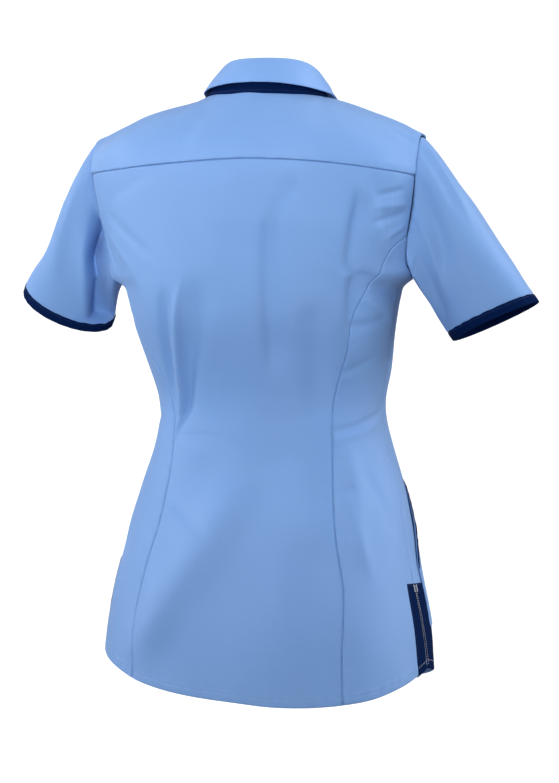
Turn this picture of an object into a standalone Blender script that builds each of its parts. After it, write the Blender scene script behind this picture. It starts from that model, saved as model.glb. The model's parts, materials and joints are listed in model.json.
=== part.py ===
"""Fitted short-sleeved work tunic in light blue twill with navy trims, filled out as if worn.

Lengths are metres and angles degrees. +Z is up, the front faces -Y and the wearer's left is +X.
The origin lies in the neck opening, midway between the two shoulders and level with their neck
ends. A place on the body is a share across one half, -1 and 1 at its side edges, and a height,
which is 0 at the top edge.
"""

import math
from typing import NamedTuple

import bpy
import numpy as np
from mathutils import Vector

OBJECT_NAME = "work_tunic"

# Cloth walls and the gaps between pieces
BODY_WALL = 0.0015
COLLAR_WALL = 0.0018
TRIM_WALL = 0.0012
SEAM_GAP = 0.0003
PANEL_SEAM_GAP = 0.0004
TIP_GAP = 0.0006

# Body
SIDE_FADE = 0.12
UNDERARM_HEIGHT = -0.203
UNDERARM_FLARE = 0.0155
FLARE_POWER = 10
LEVEL_STEP = 0.004
CHEST_LINE_CENTRE = -0.125
CHEST_LINE_RISE = 0.040
RISE_REACH = 1.05
TOP_REACH = 0.95
NECK_LEAD_BACK = 0.75
NECK_LEAD_FRONT = 0.55
NECK_LEAD_TURN = 0.35
NORMAL_SHARE_STEP = 0.004
NORMAL_HEIGHT_STEP = 0.002
FOLD_END_RATE = 3
FOLD_END_REACH = 0.5

# Neck opening and shoulders
NECK_SHARE = 0.36
NECK_HALF_WIDTH = 0.070
NECK_Y = -0.029
NECK_BACK = 0.067
NECK_FRONT = 0.058
NECK_DROP = 0.058
NECK_END_HEIGHT = -0.0008
NECK_BACK_RISE = 0.0028
FRONT_NECK_POWER = 1.3
SHOULDER_TIP = (0.1905, 0.004, -0.0465)
SHOULDER_STRAIGHT = 0.62
YOKE_FRONT_SHARE = 0.31
YOKE_FRONT_FULL = 0.38
YOKE_FRONT_DROP = 0.021

# Front overlap
OVERLAP = 0.014
OVERLAP_DEPTH = 0.0021
OVERLAP_EASE = (0.018, 0.048)

# Side vents
VENT_TOP_RIGHT = -0.5435
VENT_TOP_LEFT = -0.517
VENT_OPENING = 0.0022
FACING_WIDTH_TOP = 0.020
FACING_WIDTH_HEM = 0.028

# Sleeves
ARM_OUT = (0.444, -0.451, -0.773)
CUFF_CENTRE_X = 0.2490
CUFF_CENTRE_Y = -0.061
CUFF_HEIGHT_RIGHT = -0.2415
CUFF_HEIGHT_LEFT = -0.2255
CUFF_HALF_ACROSS = 0.0545
CUFF_HALF_DEPTH = 0.0380
CUFF_BAND = 0.0098
CUFF_FLARE = 1.01
HEAD_TUCK = 0.0018
HEAD_SHARE = 0.16
ROOT_REACH = 0.75
CUFF_REACH = 0.80
SLEEVE_FOLD_REACH = 0.3
SLEEVE_FOLD_ROOT = 0.15
SLEEVE_FOLD_CUFF = 0.12

# Collar
STAND_ROWS = 3
STAND_LAP = (0.72, 0.88)
STAND_LAP_DEPTH = 0.0024
FALL_END = 0.965
FALL_COLUMNS = 35
FALL_BULGE = 0.0034
FALL_BULGE_WAY = (0.8, 0.6)
FOLD_HALF_WIDTH = 0.0535
FOLD_Y = -0.034
FOLD_BACK = 0.050
FOLD_FRONT = 0.048
FOLD_MID = 0.0148
FOLD_SWING = 0.0345
FOLD_BEND = -0.0080
FALL_ROLL = 0.0032
COLLAR_SHIFT = -0.0058
LEAF_SHIFT = -0.0030

# Hip pockets. The mouth runs from one of the shoulder shares to another
POCKET_BOTTOM_RIGHT = -0.592
POCKET_BOTTOM_LEFT = -0.573
POCKET_BELOW_MOUTH = 0.016
MOUTH_START = 3
MOUTH_END = 6
MOUTH_BAND = 0.018
MOUTH_GAPE = 0.0018
GAPE_ROWS = 4
GAPE_RISE = 0.5
GAPE_END = 1.25

# Columns, by share from the centre, and rows of the panels
MIDDLE_SHARES = (0.0, 0.11, 0.22)
SHOULDER_SHARES = (0.318, 0.36, 0.46, 0.57, 0.68, 0.79, 0.90, 0.95, 1.0)
SIDE_PANEL_SHARES = (0.0, 0.07, 0.29, 0.51, 0.72, 0.91, 1.0)
SIDE_PANEL_FACING = 0.72
CENTRE_COLUMNS = 5
FRONT_ROWS = (2, 2, 4, 1, 11, 1, 8, 1)
UNDERARM_ROW = 21
UNDERARM_TUCK = 0.010
NARROW_ROW = 0.004
NARROW_SHARE = 0.05
NARROW_TOP_SHARE = 0.006
YOKE_FRONT_ROWS = (1.0, 0.8, 0.0)
VENT_ROWS = 4
TIP_ROWS = 3
ARMHOLE_ROWS = 5
YOKE_ROWS = 6
SLEEVE_ROWS = 10
TIP_HEIGHT = -0.1595
SIDE_ROW_LOW = -0.488
SIDE_ROW_HIGH = -0.472
FACING_MOST = 0.30
NECK_END_COLUMNS = 2
NECK_END_GAP = 0.0008
VENT_BLEND = 0.10

# Buttons
BUTTON_RADIUS = 0.0057
BUTTON_RISE = 0.0026
BUTTON_TOP = -0.088
BUTTON_PITCH = 0.0785
BUTTON_COUNT = 7
BUTTON_SIDES = 14
MERGE_DISTANCE = 0.00001

# Materials: colour, roughness
LIGHT_BLUE = ((0.215, 0.385, 0.720, 1.0), 0.82)
NAVY = ((0.0035, 0.0130, 0.0650, 1.0), 0.80)
BUTTON_BLUE = ((0.330, 0.500, 0.800, 1.0), 0.35)


class Level(NamedTuple):
    """One level round the body. The seam angle is from the centre back."""

    height: float
    half_width: float
    side_y: float
    back_depth: float
    front_depth: float
    back_flat: float
    front_flat: float
    seam_angle: float


LEVELS = (
    Level(-0.720, 0.1910, -0.0300, 0.134, 0.126, 0.06, 0.07, 87),
    Level(-0.640, 0.1882, -0.0300, 0.131, 0.125, 0.06, 0.07, 87),
    Level(-0.590, 0.1842, -0.0318, 0.127, 0.121, 0.06, 0.06, 85),
    Level(-0.540, 0.1752, -0.0355, 0.120, 0.116, 0.06, 0.06, 83),
    Level(-0.490, 0.1645, -0.0380, 0.110, 0.108, 0.05, 0.05, 83),
    Level(-0.440, 0.1528, -0.0460, 0.100, 0.096, 0.05, 0.06, 85),
    Level(-0.390, 0.1365, -0.0475, 0.095, 0.088, 0.04, 0.07, 88),
    Level(-0.345, 0.1285, -0.0470, 0.096, 0.089, 0.04, 0.08, 90),
    Level(-0.300, 0.1385, -0.0356, 0.103, 0.108, 0.05, 0.06, 91),
    Level(-0.250, 0.1490, -0.0170, 0.112, 0.132, 0.06, 0.04, 91),
    Level(-0.205, 0.1580, -0.0125, 0.117, 0.138, 0.06, 0.04, 90),
    Level(-0.165, 0.1740, -0.0130, 0.119, 0.131, 0.06, 0.05, 90),
    Level(-0.125, 0.1890, -0.0110, 0.117, 0.119, 0.05, 0.05, 90),
    Level(-0.085, 0.1970, -0.0060, 0.111, 0.107, 0.05, 0.05, 90),
    Level(-0.050, 0.1985, -0.0030, 0.100, 0.096, 0.05, 0.05, 90),
)


class Flare(NamedTuple):
    """Share of the underarm flare at a height above the underarm."""

    rise: float
    share: float


FLARES = (
    Flare(-0.500, 0.0),
    Flare(-0.040, 0.0),
    Flare(-0.022, 0.01),
    Flare(-0.010, 0.17),
    Flare(0.000, 1.00),
    Flare(0.018, 0.72),
    Flare(0.038, 0.40),
    Flare(0.080, 0.10),
    Flare(0.120, 0.00),
)


class ArmholeLevel(NamedTuple):
    """Angles of the armhole edges from the centre back and the centre front, by root of rise."""

    root_rise: float
    back_angle: float
    front_angle: float


ARMHOLE = (
    ArmholeLevel(0.000, 90.0, 90.0),
    ArmholeLevel(0.055, 86.0, 84.0),
    ArmholeLevel(0.110, 82.0, 77.0),
    ArmholeLevel(0.173, 79.5, 71.5),
    ArmholeLevel(0.235, 77.5, 70.0),
    ArmholeLevel(0.283, 76.0, 71.0),
    ArmholeLevel(0.339, 74.5, 75.0),
    ArmholeLevel(0.394, 74.0, 79.0),
)


class Hem(NamedTuple):
    """Hem height on each side at a share from the centre to the side seam."""

    share: float
    back_right: float
    back_left: float
    front_right: float
    front_left: float


HEM = (
    Hem(0.00, -0.6715, -0.6715, -0.658, -0.658),
    Hem(0.15, -0.6760, -0.6665, -0.659, -0.656),
    Hem(0.30, -0.6765, -0.6590, -0.658, -0.651),
    Hem(0.45, -0.6735, -0.6485, -0.655, -0.642),
    Hem(0.60, -0.6680, -0.6370, -0.650, -0.631),
    Hem(0.80, -0.6535, -0.6230, -0.642, -0.620),
    Hem(1.00, -0.6360, -0.6130, -0.636, -0.613),
)


class YokeSeam(NamedTuple):
    """Height of the yoke seam at a share across the back, right to left."""

    share: float
    height: float


YOKE_SEAM = (
    YokeSeam(-1.000, -0.0925),
    YokeSeam(-0.735, -0.0870),
    YokeSeam(-0.460, -0.0800),
    YokeSeam(-0.100, -0.0745),
    YokeSeam(0.280, -0.0780),
    YokeSeam(0.585, -0.0830),
    YokeSeam(1.000, -0.0860),
)


class SeamPoint(NamedTuple):
    """Share at which the back panel seam runs at a height."""

    height: float
    share: float


BACK_SEAM = (
    SeamPoint(-0.720, 0.448),
    SeamPoint(-0.620, 0.450),
    SeamPoint(-0.540, 0.466),
    SeamPoint(-0.490, 0.444),
    SeamPoint(-0.445, 0.440),
    SeamPoint(-0.385, 0.486),
    SeamPoint(-0.335, 0.532),
    SeamPoint(-0.300, 0.578),
    SeamPoint(-0.257, 0.642),
    SeamPoint(-0.228, 0.703),
    SeamPoint(-0.205, 0.762),
    SeamPoint(-0.187, 0.822),
    SeamPoint(-0.172, 0.890),
    SeamPoint(-0.158, 1.000),
)


class Fold(NamedTuple):
    """A soft trough or ridge on one half, from one place to another."""

    half: str
    start_share: float
    start_height: float
    end_share: float
    end_height: float
    width: float
    rise: float


FOLDS = (
    Fold("back", 0.285, -0.225, 0.480, -0.365, 0.011, 0.0030),
    Fold("back", 0.150, -0.215, 0.290, -0.350, 0.019, -0.0046),
    Fold("back", -0.230, -0.105, -0.140, -0.300, 0.024, -0.0040),
    Fold("back", -0.580, -0.120, -0.560, -0.270, 0.020, -0.0038),
    Fold("back", -0.340, -0.250, -0.360, -0.330, 0.022, -0.0034),
    Fold("back", 0.080, -0.460, 0.300, -0.600, 0.030, 0.0036),
    Fold("back", -0.250, -0.470, -0.220, -0.640, 0.034, -0.0032),
    Fold("front", 0.420, -0.250, 0.180, -0.390, 0.020, -0.0040),
    Fold("front", -0.440, -0.240, -0.200, -0.400, 0.020, -0.0042),
    Fold("front", 0.560, -0.310, 0.300, -0.420, 0.016, 0.0030),
    Fold("front", -0.520, -0.330, -0.270, -0.430, 0.016, 0.0028),
    Fold("front", 0.300, -0.120, 0.500, -0.230, 0.022, -0.0034),
    Fold("front", -0.280, -0.110, -0.520, -0.220, 0.022, -0.0034),
    Fold("front", 0.350, -0.480, 0.420, -0.640, 0.032, -0.0036),
    Fold("front", -0.250, -0.500, -0.300, -0.650, 0.030, -0.0034),
)


class MouthPoint(NamedTuple):
    """Height of a pocket's top edge at a share of the front."""

    share: float
    height: float


MOUTH = (
    MouthPoint(0.57, -0.400),
    MouthPoint(0.68, -0.424),
    MouthPoint(0.79, -0.461),
    MouthPoint(0.90, -0.512),
)


class Lead(NamedTuple):
    """Direction in which the sleeve leaves the armhole, by share round it from the underarm."""

    around: float
    out: float
    back: float
    up: float


LEADS = (
    Lead(0.00, 0.46, -0.08, -0.88),
    Lead(0.12, 0.66, 0.10, -0.74),
    Lead(0.27, 0.84, 0.12, -0.53),
    Lead(0.42, 0.78, 0.00, -0.63),
    Lead(0.50, 0.71, -0.16, -0.69),
    Lead(0.60, 0.80, -0.38, -0.46),
    Lead(0.74, 0.78, -0.42, -0.46),
    Lead(0.88, 0.60, -0.32, -0.73),
    Lead(1.00, 0.46, -0.08, -0.88),
)


class SleeveFold(NamedTuple):
    """A soft trough or ridge along a sleeve, placed round it and from armhole to cuff."""

    side: int
    start_around: float
    start_along: float
    end_around: float
    end_along: float
    width: float
    rise: float


SLEEVE_FOLDS = (
    SleeveFold(-1, 0.40, 0.05, 0.36, 0.60, 0.030, 0.0030),
    SleeveFold(-1, 0.27, 0.05, 0.24, 0.75, 0.045, -0.0040),
    SleeveFold(-1, 0.12, 0.10, 0.14, 0.80, 0.035, 0.0030),
    SleeveFold(-1, 0.62, 0.05, 0.66, 0.60, 0.040, -0.0036),
    SleeveFold(-1, 0.84, 0.10, 0.80, 0.70, 0.040, 0.0030),
    SleeveFold(1, 0.00, 0.00, 0.00, 0.55, 0.050, 0.0060),
    SleeveFold(1, 0.14, 0.02, 0.10, 0.70, 0.035, -0.0070),
    SleeveFold(1, 0.22, 0.05, 0.20, 0.80, 0.035, 0.0036),
    SleeveFold(1, 0.34, 0.08, 0.30, 0.80, 0.045, -0.0030),
    SleeveFold(1, 0.62, 0.05, 0.64, 0.65, 0.040, -0.0036),
    SleeveFold(1, 0.82, 0.10, 0.80, 0.70, 0.040, 0.0032),
)


class LeafEdge(NamedTuple):
    """Lower edge of the collar fall: place on the body and clearance, by share of a half turn."""

    turn: float
    share: float
    height: float
    clear: float


FRONT_LEAF = (
    LeafEdge(0.50, 0.385, 0.000, 0.0036),
    LeafEdge(0.60, 0.400, -0.012, 0.0046),
    LeafEdge(0.72, 0.375, -0.030, 0.0052),
    LeafEdge(0.84, 0.315, -0.047, 0.0052),
    LeafEdge(0.92, 0.255, -0.058, 0.0050),
    LeafEdge(1.00, 0.190, -0.066, 0.0046),
)


class BackLeaf(NamedTuple):
    """Lower edge of the collar fall behind the shoulders, by share of a half turn."""

    turn: float
    half_width: float
    y: float
    height: float


BACK_LEAF = (
    BackLeaf(0.00, 0.0000, 0.0400, 0.0138),
    BackLeaf(0.12, 0.0275, 0.0365, 0.0128),
    BackLeaf(0.25, 0.0530, 0.0235, 0.0094),
    BackLeaf(0.38, 0.0697, -0.0010, 0.0050),
    BackLeaf(0.50, 0.0762, -0.0285, 0.0020),
)


class FallRow(NamedTuple):
    """Row of the collar fall at its fold: how far it lies out of and above the fold line."""

    out: float
    up: float


FALL_ROWS = (
    FallRow(-0.0006, -0.0006),
    FallRow(0.0014, 0.0004),
    FallRow(0.0035, -0.0008),
)
FALL_SHARES = (0.30, 0.65, 1.0)


class ButtonPoint(NamedTuple):
    """Point of the button's profile from its face to its back, as shares of its radius and rise."""

    radius: float
    rise: float


BUTTON_PROFILE = (
    ButtonPoint(0.00, 0.86),
    ButtonPoint(0.90, 1.00),
    ButtonPoint(1.00, 0.42),
    ButtonPoint(0.80, 0.00),
    ButtonPoint(0.00, 0.00),
)


def through(table, column, at):
    """Smooth curve through one column of a table, whose first column is the position."""
    places = np.array([row[0] for row in table])
    values = np.array([getattr(row, column) for row in table])
    slopes = np.gradient(values, places)
    at = np.clip(at, places[0], places[-1])
    low = np.clip(np.searchsorted(places, at) - 1, 0, len(places) - 2)
    width = places[low + 1] - places[low]
    share = (at - places[low]) / width
    return hermite(
        values[low], slopes[low] * width, values[low + 1], slopes[low + 1] * width, share
    )


def hermite(start, start_slope, end, end_slope, share):
    """Cubic from start to end with a given slope at each."""
    rest = 1 - share
    return (
        (1 + 2 * share) * rest**2 * start
        + share * rest**2 * start_slope
        + share**2 * (3 - 2 * share) * end
        - share**2 * rest * end_slope
    )


def ease(share):
    """Smooth step from 0 to 1."""
    share = np.clip(share, 0, 1)
    return share * share * (3 - 2 * share)


def unit(vectors):
    """Vectors at length 1."""
    return vectors / np.linalg.norm(vectors, axis=-1, keepdims=True)


def body_ring(angle, height):
    """Point at an angle from the centre back, in radians, on the level at a height."""
    cosine = np.cos(angle)
    behind = cosine > 0
    depth = np.where(
        behind, through(LEVELS, "back_depth", height), through(LEVELS, "front_depth", height)
    )
    flat = np.where(
        behind, through(LEVELS, "back_flat", height), through(LEVELS, "front_flat", height)
    )
    squared = (cosine - flat * np.cos(3 * angle)) / (1 - flat)
    flare = UNDERARM_FLARE * through(FLARES, "share", height - UNDERARM_HEIGHT)
    x = through(LEVELS, "half_width", height) * np.sin(angle)
    x = x + flare * np.sin(angle) * np.abs(np.sin(angle)) ** FLARE_POWER
    y = through(LEVELS, "side_y", height) + depth * squared
    return np.stack([x, y, height + 0 * x], axis=-1)


def half_ring(half, share, height):
    """Point of one half at a share from its centre line to its side edge."""
    rise = np.sqrt(np.maximum(height - UNDERARM_HEIGHT, 0))
    seam = through(LEVELS, "seam_angle", height)
    if half == "back":
        edge = np.where(rise > 0, through(ARMHOLE, "back_angle", rise), seam)
        return body_ring(np.radians(edge) * share, height)
    edge = np.where(rise > 0, through(ARMHOLE, "front_angle", rise), 180 - seam)
    return body_ring(math.pi - np.radians(edge) * share, height)


def chest_line(half, share):
    """Height at which the levels end and the shoulder begins: the yoke seam behind."""
    if half == "back":
        return through(YOKE_SEAM, "height", share)
    return CHEST_LINE_CENTRE + CHEST_LINE_RISE * share**2


def top_edge(half, share):
    """Neck edge, then the shoulder line from the neck to its tip."""
    away = np.abs(share)
    side = np.where(share < 0, -1.0, 1.0)
    turn = np.clip(away / NECK_SHARE, 0, 1) * math.pi / 2
    out = np.clip((away - NECK_SHARE) / (1 - NECK_SHARE), 0, 1)
    behind = half == "back"
    neck_x = NECK_HALF_WIDTH * np.sin(turn)
    neck_y = NECK_Y + (NECK_BACK if behind else -NECK_FRONT) * np.cos(turn)
    if behind:
        neck_z = NECK_END_HEIGHT + NECK_BACK_RISE * np.cos(turn)
    else:
        neck_z = NECK_END_HEIGHT - NECK_DROP * np.cos(turn) ** FRONT_NECK_POWER
    tip_x, tip_y, tip_z = SHOULDER_TIP
    fall = SHOULDER_STRAIGHT * out + (1 - SHOULDER_STRAIGHT) * out**2
    line_x = NECK_HALF_WIDTH + (tip_x - NECK_HALF_WIDTH) * out
    line_y = NECK_Y + (tip_y - NECK_Y) * out
    line_z = NECK_END_HEIGHT + (tip_z - NECK_END_HEIGHT) * fall
    at_neck = away <= NECK_SHARE
    return np.stack(
        [
            side * np.where(at_neck, neck_x, line_x),
            np.where(at_neck, neck_y, line_y),
            np.where(at_neck, neck_z, line_z),
        ],
        axis=-1,
    )


def top_lead(half, share):
    """Direction of the cloth as it reaches the top edge: level on the shoulder, up at the neck."""
    at_neck = 1 - ease(np.abs(share) / NECK_SHARE)
    across = -1.0 if half == "back" else 1.0
    up = at_neck * (NECK_LEAD_BACK if half == "back" else NECK_LEAD_FRONT)
    return unit(np.stack([0 * share, across * (1 - NECK_LEAD_TURN * at_neck), up], axis=-1))


def smooth_body(half, share, height):
    """Body surface before its folds."""
    share, height = np.broadcast_arrays(np.asarray(share, float), np.asarray(height, float))
    line = chest_line(half, share)
    level = half_ring(half, share, np.minimum(height, line))
    at_line = half_ring(half, share, line)
    climb = unit(at_line - half_ring(half, share, line - LEVEL_STEP))
    top = top_edge(half, share)
    span = np.linalg.norm(top - at_line, axis=-1, keepdims=True)
    along = np.clip((height - line) / (0 - line), 0, 1)[..., None]
    shoulder = hermite(
        at_line, climb * span * RISE_REACH, top, top_lead(half, share) * span * TOP_REACH, along
    )
    return np.where((height > line)[..., None], shoulder, level)


def body_normal(half, share, height):
    """Outward direction of the body surface."""
    share, height = np.broadcast_arrays(np.asarray(share, float), np.asarray(height, float))
    beside = NORMAL_SHARE_STEP
    above = NORMAL_HEIGHT_STEP
    low = np.minimum(height, -above)
    across = smooth_body(half, share + beside, low) - smooth_body(half, share - beside, low)
    up = smooth_body(half, share, low + above) - smooth_body(half, share, low - above)
    normal = unit(np.cross(across, up))
    return -normal if half == "back" else normal


def fold_ends(along, reach):
    """Share of a fold's depth along it, fading out at both its ends."""
    return ease(FOLD_END_RATE * along + reach) * ease(FOLD_END_RATE * (1 - along) + reach)


def fold_rise(half, share, height):
    """How far the folds of one half move its surface out."""
    girth = through(LEVELS, "half_width", height) * math.pi / 2
    total = 0 * share
    for fold in FOLDS:
        if fold.half != half:
            continue
        drop = fold.end_height - fold.start_height
        run = np.array([(fold.end_share - fold.start_share) * girth, drop + 0 * girth])
        reach = np.array([(share - fold.start_share) * girth, height - fold.start_height])
        length = np.sqrt((run**2).sum(axis=0))
        along = (run * reach).sum(axis=0) / length**2
        beside = (run[0] * reach[1] - run[1] * reach[0]) / length
        shape = np.exp(-((beside / fold.width) ** 2))
        total = total + fold.rise * shape * fold_ends(along, FOLD_END_REACH)
    fade = ease((1 - np.abs(share)) / SIDE_FADE) * ease(-height / SIDE_FADE)
    return total * fade


def body(half, share, height, lift=0.0):
    """Body surface with its folds, moved out by the lift."""
    share, height = np.broadcast_arrays(np.asarray(share, float), np.asarray(height, float))
    rise = fold_rise(half, share, height) + lift
    return smooth_body(half, share, height) + body_normal(half, share, height) * rise[..., None]


def hem_height(half, share):
    """Height of the hem."""
    away = np.abs(share)
    right = through(HEM, half + "_right", away)
    left = through(HEM, half + "_left", away)
    return np.where(share < 0, right, left)


def inset(grid, left=0.0, right=0.0, bottom=0.0, top=0.0):
    """Grid with its outer rows and columns drawn in by small distances."""
    drawn = grid.copy()
    drawn[:, 0] += unit(grid[:, 1] - grid[:, 0]) * np.reshape(left, (-1, 1))
    drawn[:, -1] += unit(grid[:, -2] - grid[:, -1]) * np.reshape(right, (-1, 1))
    drawn[0] += unit(grid[1] - grid[0]) * np.reshape(bottom, (-1, 1))
    drawn[-1] += unit(grid[-2] - grid[-1]) * np.reshape(top, (-1, 1))
    return drawn


def finish(name, colour, roughness):
    """Plain material."""
    material = bpy.data.materials.new(name)
    material.use_nodes = True
    shader = material.node_tree.nodes["Principled BSDF"]
    shader.inputs["Base Color"].default_value = colour
    shader.inputs["Roughness"].default_value = roughness
    shader.inputs["Metallic"].default_value = 0.0
    material.diffuse_color = colour
    return material


def add_mesh(name, points, faces, material, collection):
    """Smooth-shaded object from points and faces."""
    mesh = bpy.data.meshes.new(name)
    mesh.from_pydata([tuple(point) for point in points], [], [tuple(face) for face in faces])
    mesh.update()
    mesh.shade_smooth()
    mesh.materials.append(material)
    item = bpy.data.objects.new(name, mesh)
    collection.objects.link(item)
    return item


def grid_faces(rows, columns, closed, turned):
    """Quads of a grid of points, row by row; a closed grid joins its last column to its first."""
    faces = []
    last = columns if closed else columns - 1
    for row in range(rows - 1):
        for column in range(last):
            beside = (column + 1) % columns
            face = [
                row * columns + column,
                row * columns + beside,
                (row + 1) * columns + beside,
                (row + 1) * columns + column,
            ]
            faces.append(face[::-1] if turned else face)
    return faces


def add_cloth(name, grids, wall, material, collection, closed=False, turned=False):
    """Cloth piece through one grid, or through several that share edge points."""
    points = np.concatenate([grid.reshape(-1, 3) for grid in grids])
    faces = []
    start = 0
    for grid in grids:
        rows, columns = grid.shape[:2]
        for face in grid_faces(rows, columns, closed, turned):
            faces.append([start + corner for corner in face])
        start += rows * columns
    rounded = np.round(points, 7)
    _, first, index = np.unique(rounded, axis=0, return_index=True, return_inverse=True)
    index = index.reshape(-1)
    order = np.argsort(first)
    place = np.empty(len(order), int)
    place[order] = np.arange(len(order))
    faces = [[place[index[corner]] for corner in face] for face in faces]
    item = add_mesh(name, points[first[order]], faces, material, collection)
    solidify = item.modifiers.new("wall", "SOLIDIFY")
    solidify.thickness = wall
    solidify.offset = -1.0
    return item


def yoke_front(share):
    """Height of the seam where the yoke meets a front."""
    past = (np.abs(share) - YOKE_FRONT_SHARE) / (YOKE_FRONT_FULL - YOKE_FRONT_SHARE)
    return -YOKE_FRONT_DROP * ease(past)


def vent_inset(grid, vent_top):
    """How far a side edge is drawn in at each row: the seam's half gap, more down the vent."""
    height = grid[:, 0, 2]
    depth = np.clip((vent_top - height) / (vent_top - height.min()), 0, 1)
    return SEAM_GAP / 2 + VENT_OPENING * depth


def between(keys, counts):
    """Rows of heights: the key rows, with evenly spaced rows between each and the next."""
    rows = [keys[0]]
    for low, high, count in zip(keys[:-1], keys[1:], counts):
        for step in range(1, count + 1):
            rows.append(low + (high - low) * step / count)
    return np.stack([np.asarray(row, float) for row in rows])


def vent_top(side):
    """Height of the top of a side vent."""
    return VENT_TOP_RIGHT if side < 0 else VENT_TOP_LEFT


def facing_share(height):
    """Share of the inner edge of the vent facings, carried on above the vent."""
    down = np.clip((VENT_TOP_RIGHT - height) / (VENT_TOP_RIGHT - LEVELS[1].height), 0, 1)
    width = FACING_WIDTH_TOP + (FACING_WIDTH_HEM - FACING_WIDTH_TOP) * down
    girth = LEVELS[1].half_width * math.pi / 2
    above = ease((height - VENT_TOP_RIGHT) / VENT_BLEND)
    return (1 - width / girth) * (1 - above) + SHOULDER_SHARES[-3] * above


def pocket_bottom(side):
    """Height of a pocket's bottom edge."""
    return POCKET_BOTTOM_RIGHT if side < 0 else POCKET_BOTTOM_LEFT


def beyond_pocket(away):
    """How far a place lies from the mouth's end towards the side seam."""
    end = SHOULDER_SHARES[MOUTH_END]
    return np.clip((away - end) / (1 - end), 0, 1)


def front_heights(side, away):
    """Heights of a front's rows, which follow its pocket, vent, underarm and top edge."""
    aside = beyond_pocket(away)
    mouth = through(MOUTH, "height", away)
    below = MOUTH[-1].height - MOUTH_BAND - POCKET_BELOW_MOUTH
    keys = [
        hem_height("front", side * away),
        pocket_bottom(side) + 0 * away,
        below + (vent_top(side) - below) * aside,
        mouth - MOUTH_BAND + (SIDE_ROW_LOW - mouth + MOUTH_BAND) * aside,
        mouth + (SIDE_ROW_HIGH - mouth) * aside,
        UNDERARM_HEIGHT - UNDERARM_TUCK + 0 * away,
        UNDERARM_HEIGHT + 0 * away,
        yoke_front(away) - NARROW_ROW,
        yoke_front(away),
    ]
    return between(keys, FRONT_ROWS)


def side_heights(side):
    """Heights of the rows at the side seam, from the hem to the underarm."""
    return front_heights(side, np.array([1.0]))[: UNDERARM_ROW + 1, 0]


def seam_heights(side):
    """Heights of the rows at the back panel seam, from the hem to the tip of the side panel."""
    low = hem_height("back", np.array([side * BACK_SEAM[0].share]))[0]
    count = UNDERARM_ROW + TIP_ROWS
    return low + (TIP_HEIGHT - low) * np.linspace(0, 1, count + 1)


def tip_heights():
    """Heights of the side panel's armhole rows, from the underarm to its tip."""
    return UNDERARM_HEIGHT + (TIP_HEIGHT - UNDERARM_HEIGHT) * np.linspace(0, 1, TIP_ROWS + 1)[1:]


def back_seam_share(height):
    """Share of the centre panel's edge: the panel seam, then the armhole."""
    return np.where(height > BACK_SEAM[-1].height, 1.0, through(BACK_SEAM, "share", height))


def centre_edge_heights(side):
    """Heights of the centre panel's edge rows, from the hem to the yoke seam."""
    low = seam_heights(side)
    start = BACK_SEAM[-1].height
    top = chest_line("back", np.array([float(side)]))[0]
    above = start + (top - NARROW_ROW - start) * np.linspace(0, 1, ARMHOLE_ROWS)
    return np.concatenate([low, above, [top]])


def yoke_columns():
    """Shares of the yoke's columns, which are also those of the centre panel's top edge."""
    side = np.array(SHOULDER_SHARES)
    middle = np.array(MIDDLE_SHARES)
    return np.concatenate([-side[::-1], -middle[:0:-1], middle, side])


def centre_grid():
    """Grid of the centre back panel."""
    columns = yoke_columns()
    edge = {side: centre_edge_heights(side) for side in (-1, 1)}
    rows = len(edge[1])
    even = np.append(np.linspace(0, 1 - NARROW_TOP_SHARE, rows - 1), 1.0)
    height = np.zeros((rows, len(columns)))
    share = np.zeros_like(height)
    for place, column in enumerate(columns):
        side = -1 if column < 0 else 1
        bottom_edge, top_edge_height = edge[side][0], edge[side][-1]
        edge_climb = (edge[side] - bottom_edge) / (top_edge_height - bottom_edge)
        climb = even + (edge_climb - even) * column**2
        across = column * back_seam_share(edge[side])
        bottom = hem_height("back", across[:1])[0]
        top = chest_line("back", np.array([column]))[0]
        height[:, place] = bottom + (top - bottom) * climb
        share[:, place] = column * back_seam_share(height[:, place])
        if abs(column) == 1.0:
            height[:, place] = edge[side]
            share[:, place] = column * back_seam_share(edge[side])
    return body("back", share, height)


def side_grid(side):
    """Grid of a back side panel, its columns from the panel seam to the side seam."""
    inner = seam_heights(side)
    outer = np.concatenate([side_heights(side), tip_heights()])
    seam = back_seam_share(inner)
    columns = []
    for share in SIDE_PANEL_SHARES:
        height = inner + (outer - inner) * share
        low = back_seam_share(height)
        facing = 1 - np.minimum(1 - facing_share(height), FACING_MOST * (1 - low))
        near = low + (facing - low) * min(share / SIDE_PANEL_FACING, 1)
        far = (1 - facing) * max((share - SIDE_PANEL_FACING) / (1 - SIDE_PANEL_FACING), 0)
        place = near + far
        if share == 0:
            place = seam
        bottom = hem_height("back", side * place[:1])[0]
        fade = 1 - np.linspace(0, 1, len(height))
        columns.append((place, height + (bottom - height[0]) * fade**2))
    share = np.stack([column[0] for column in columns], axis=1)
    height = np.stack([column[1] for column in columns], axis=1)
    return body("back", side * share, height)


def moved_out(grid, lift, turned):
    """Grid moved out from itself along its own normals."""
    across = np.gradient(grid, axis=1)
    up = np.gradient(grid, axis=0)
    normal = unit(np.cross(across, up))
    if turned:
        normal = -normal
    return grid + normal * np.reshape(lift, np.shape(lift) + (1,) * (3 - np.ndim(lift)))


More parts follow.
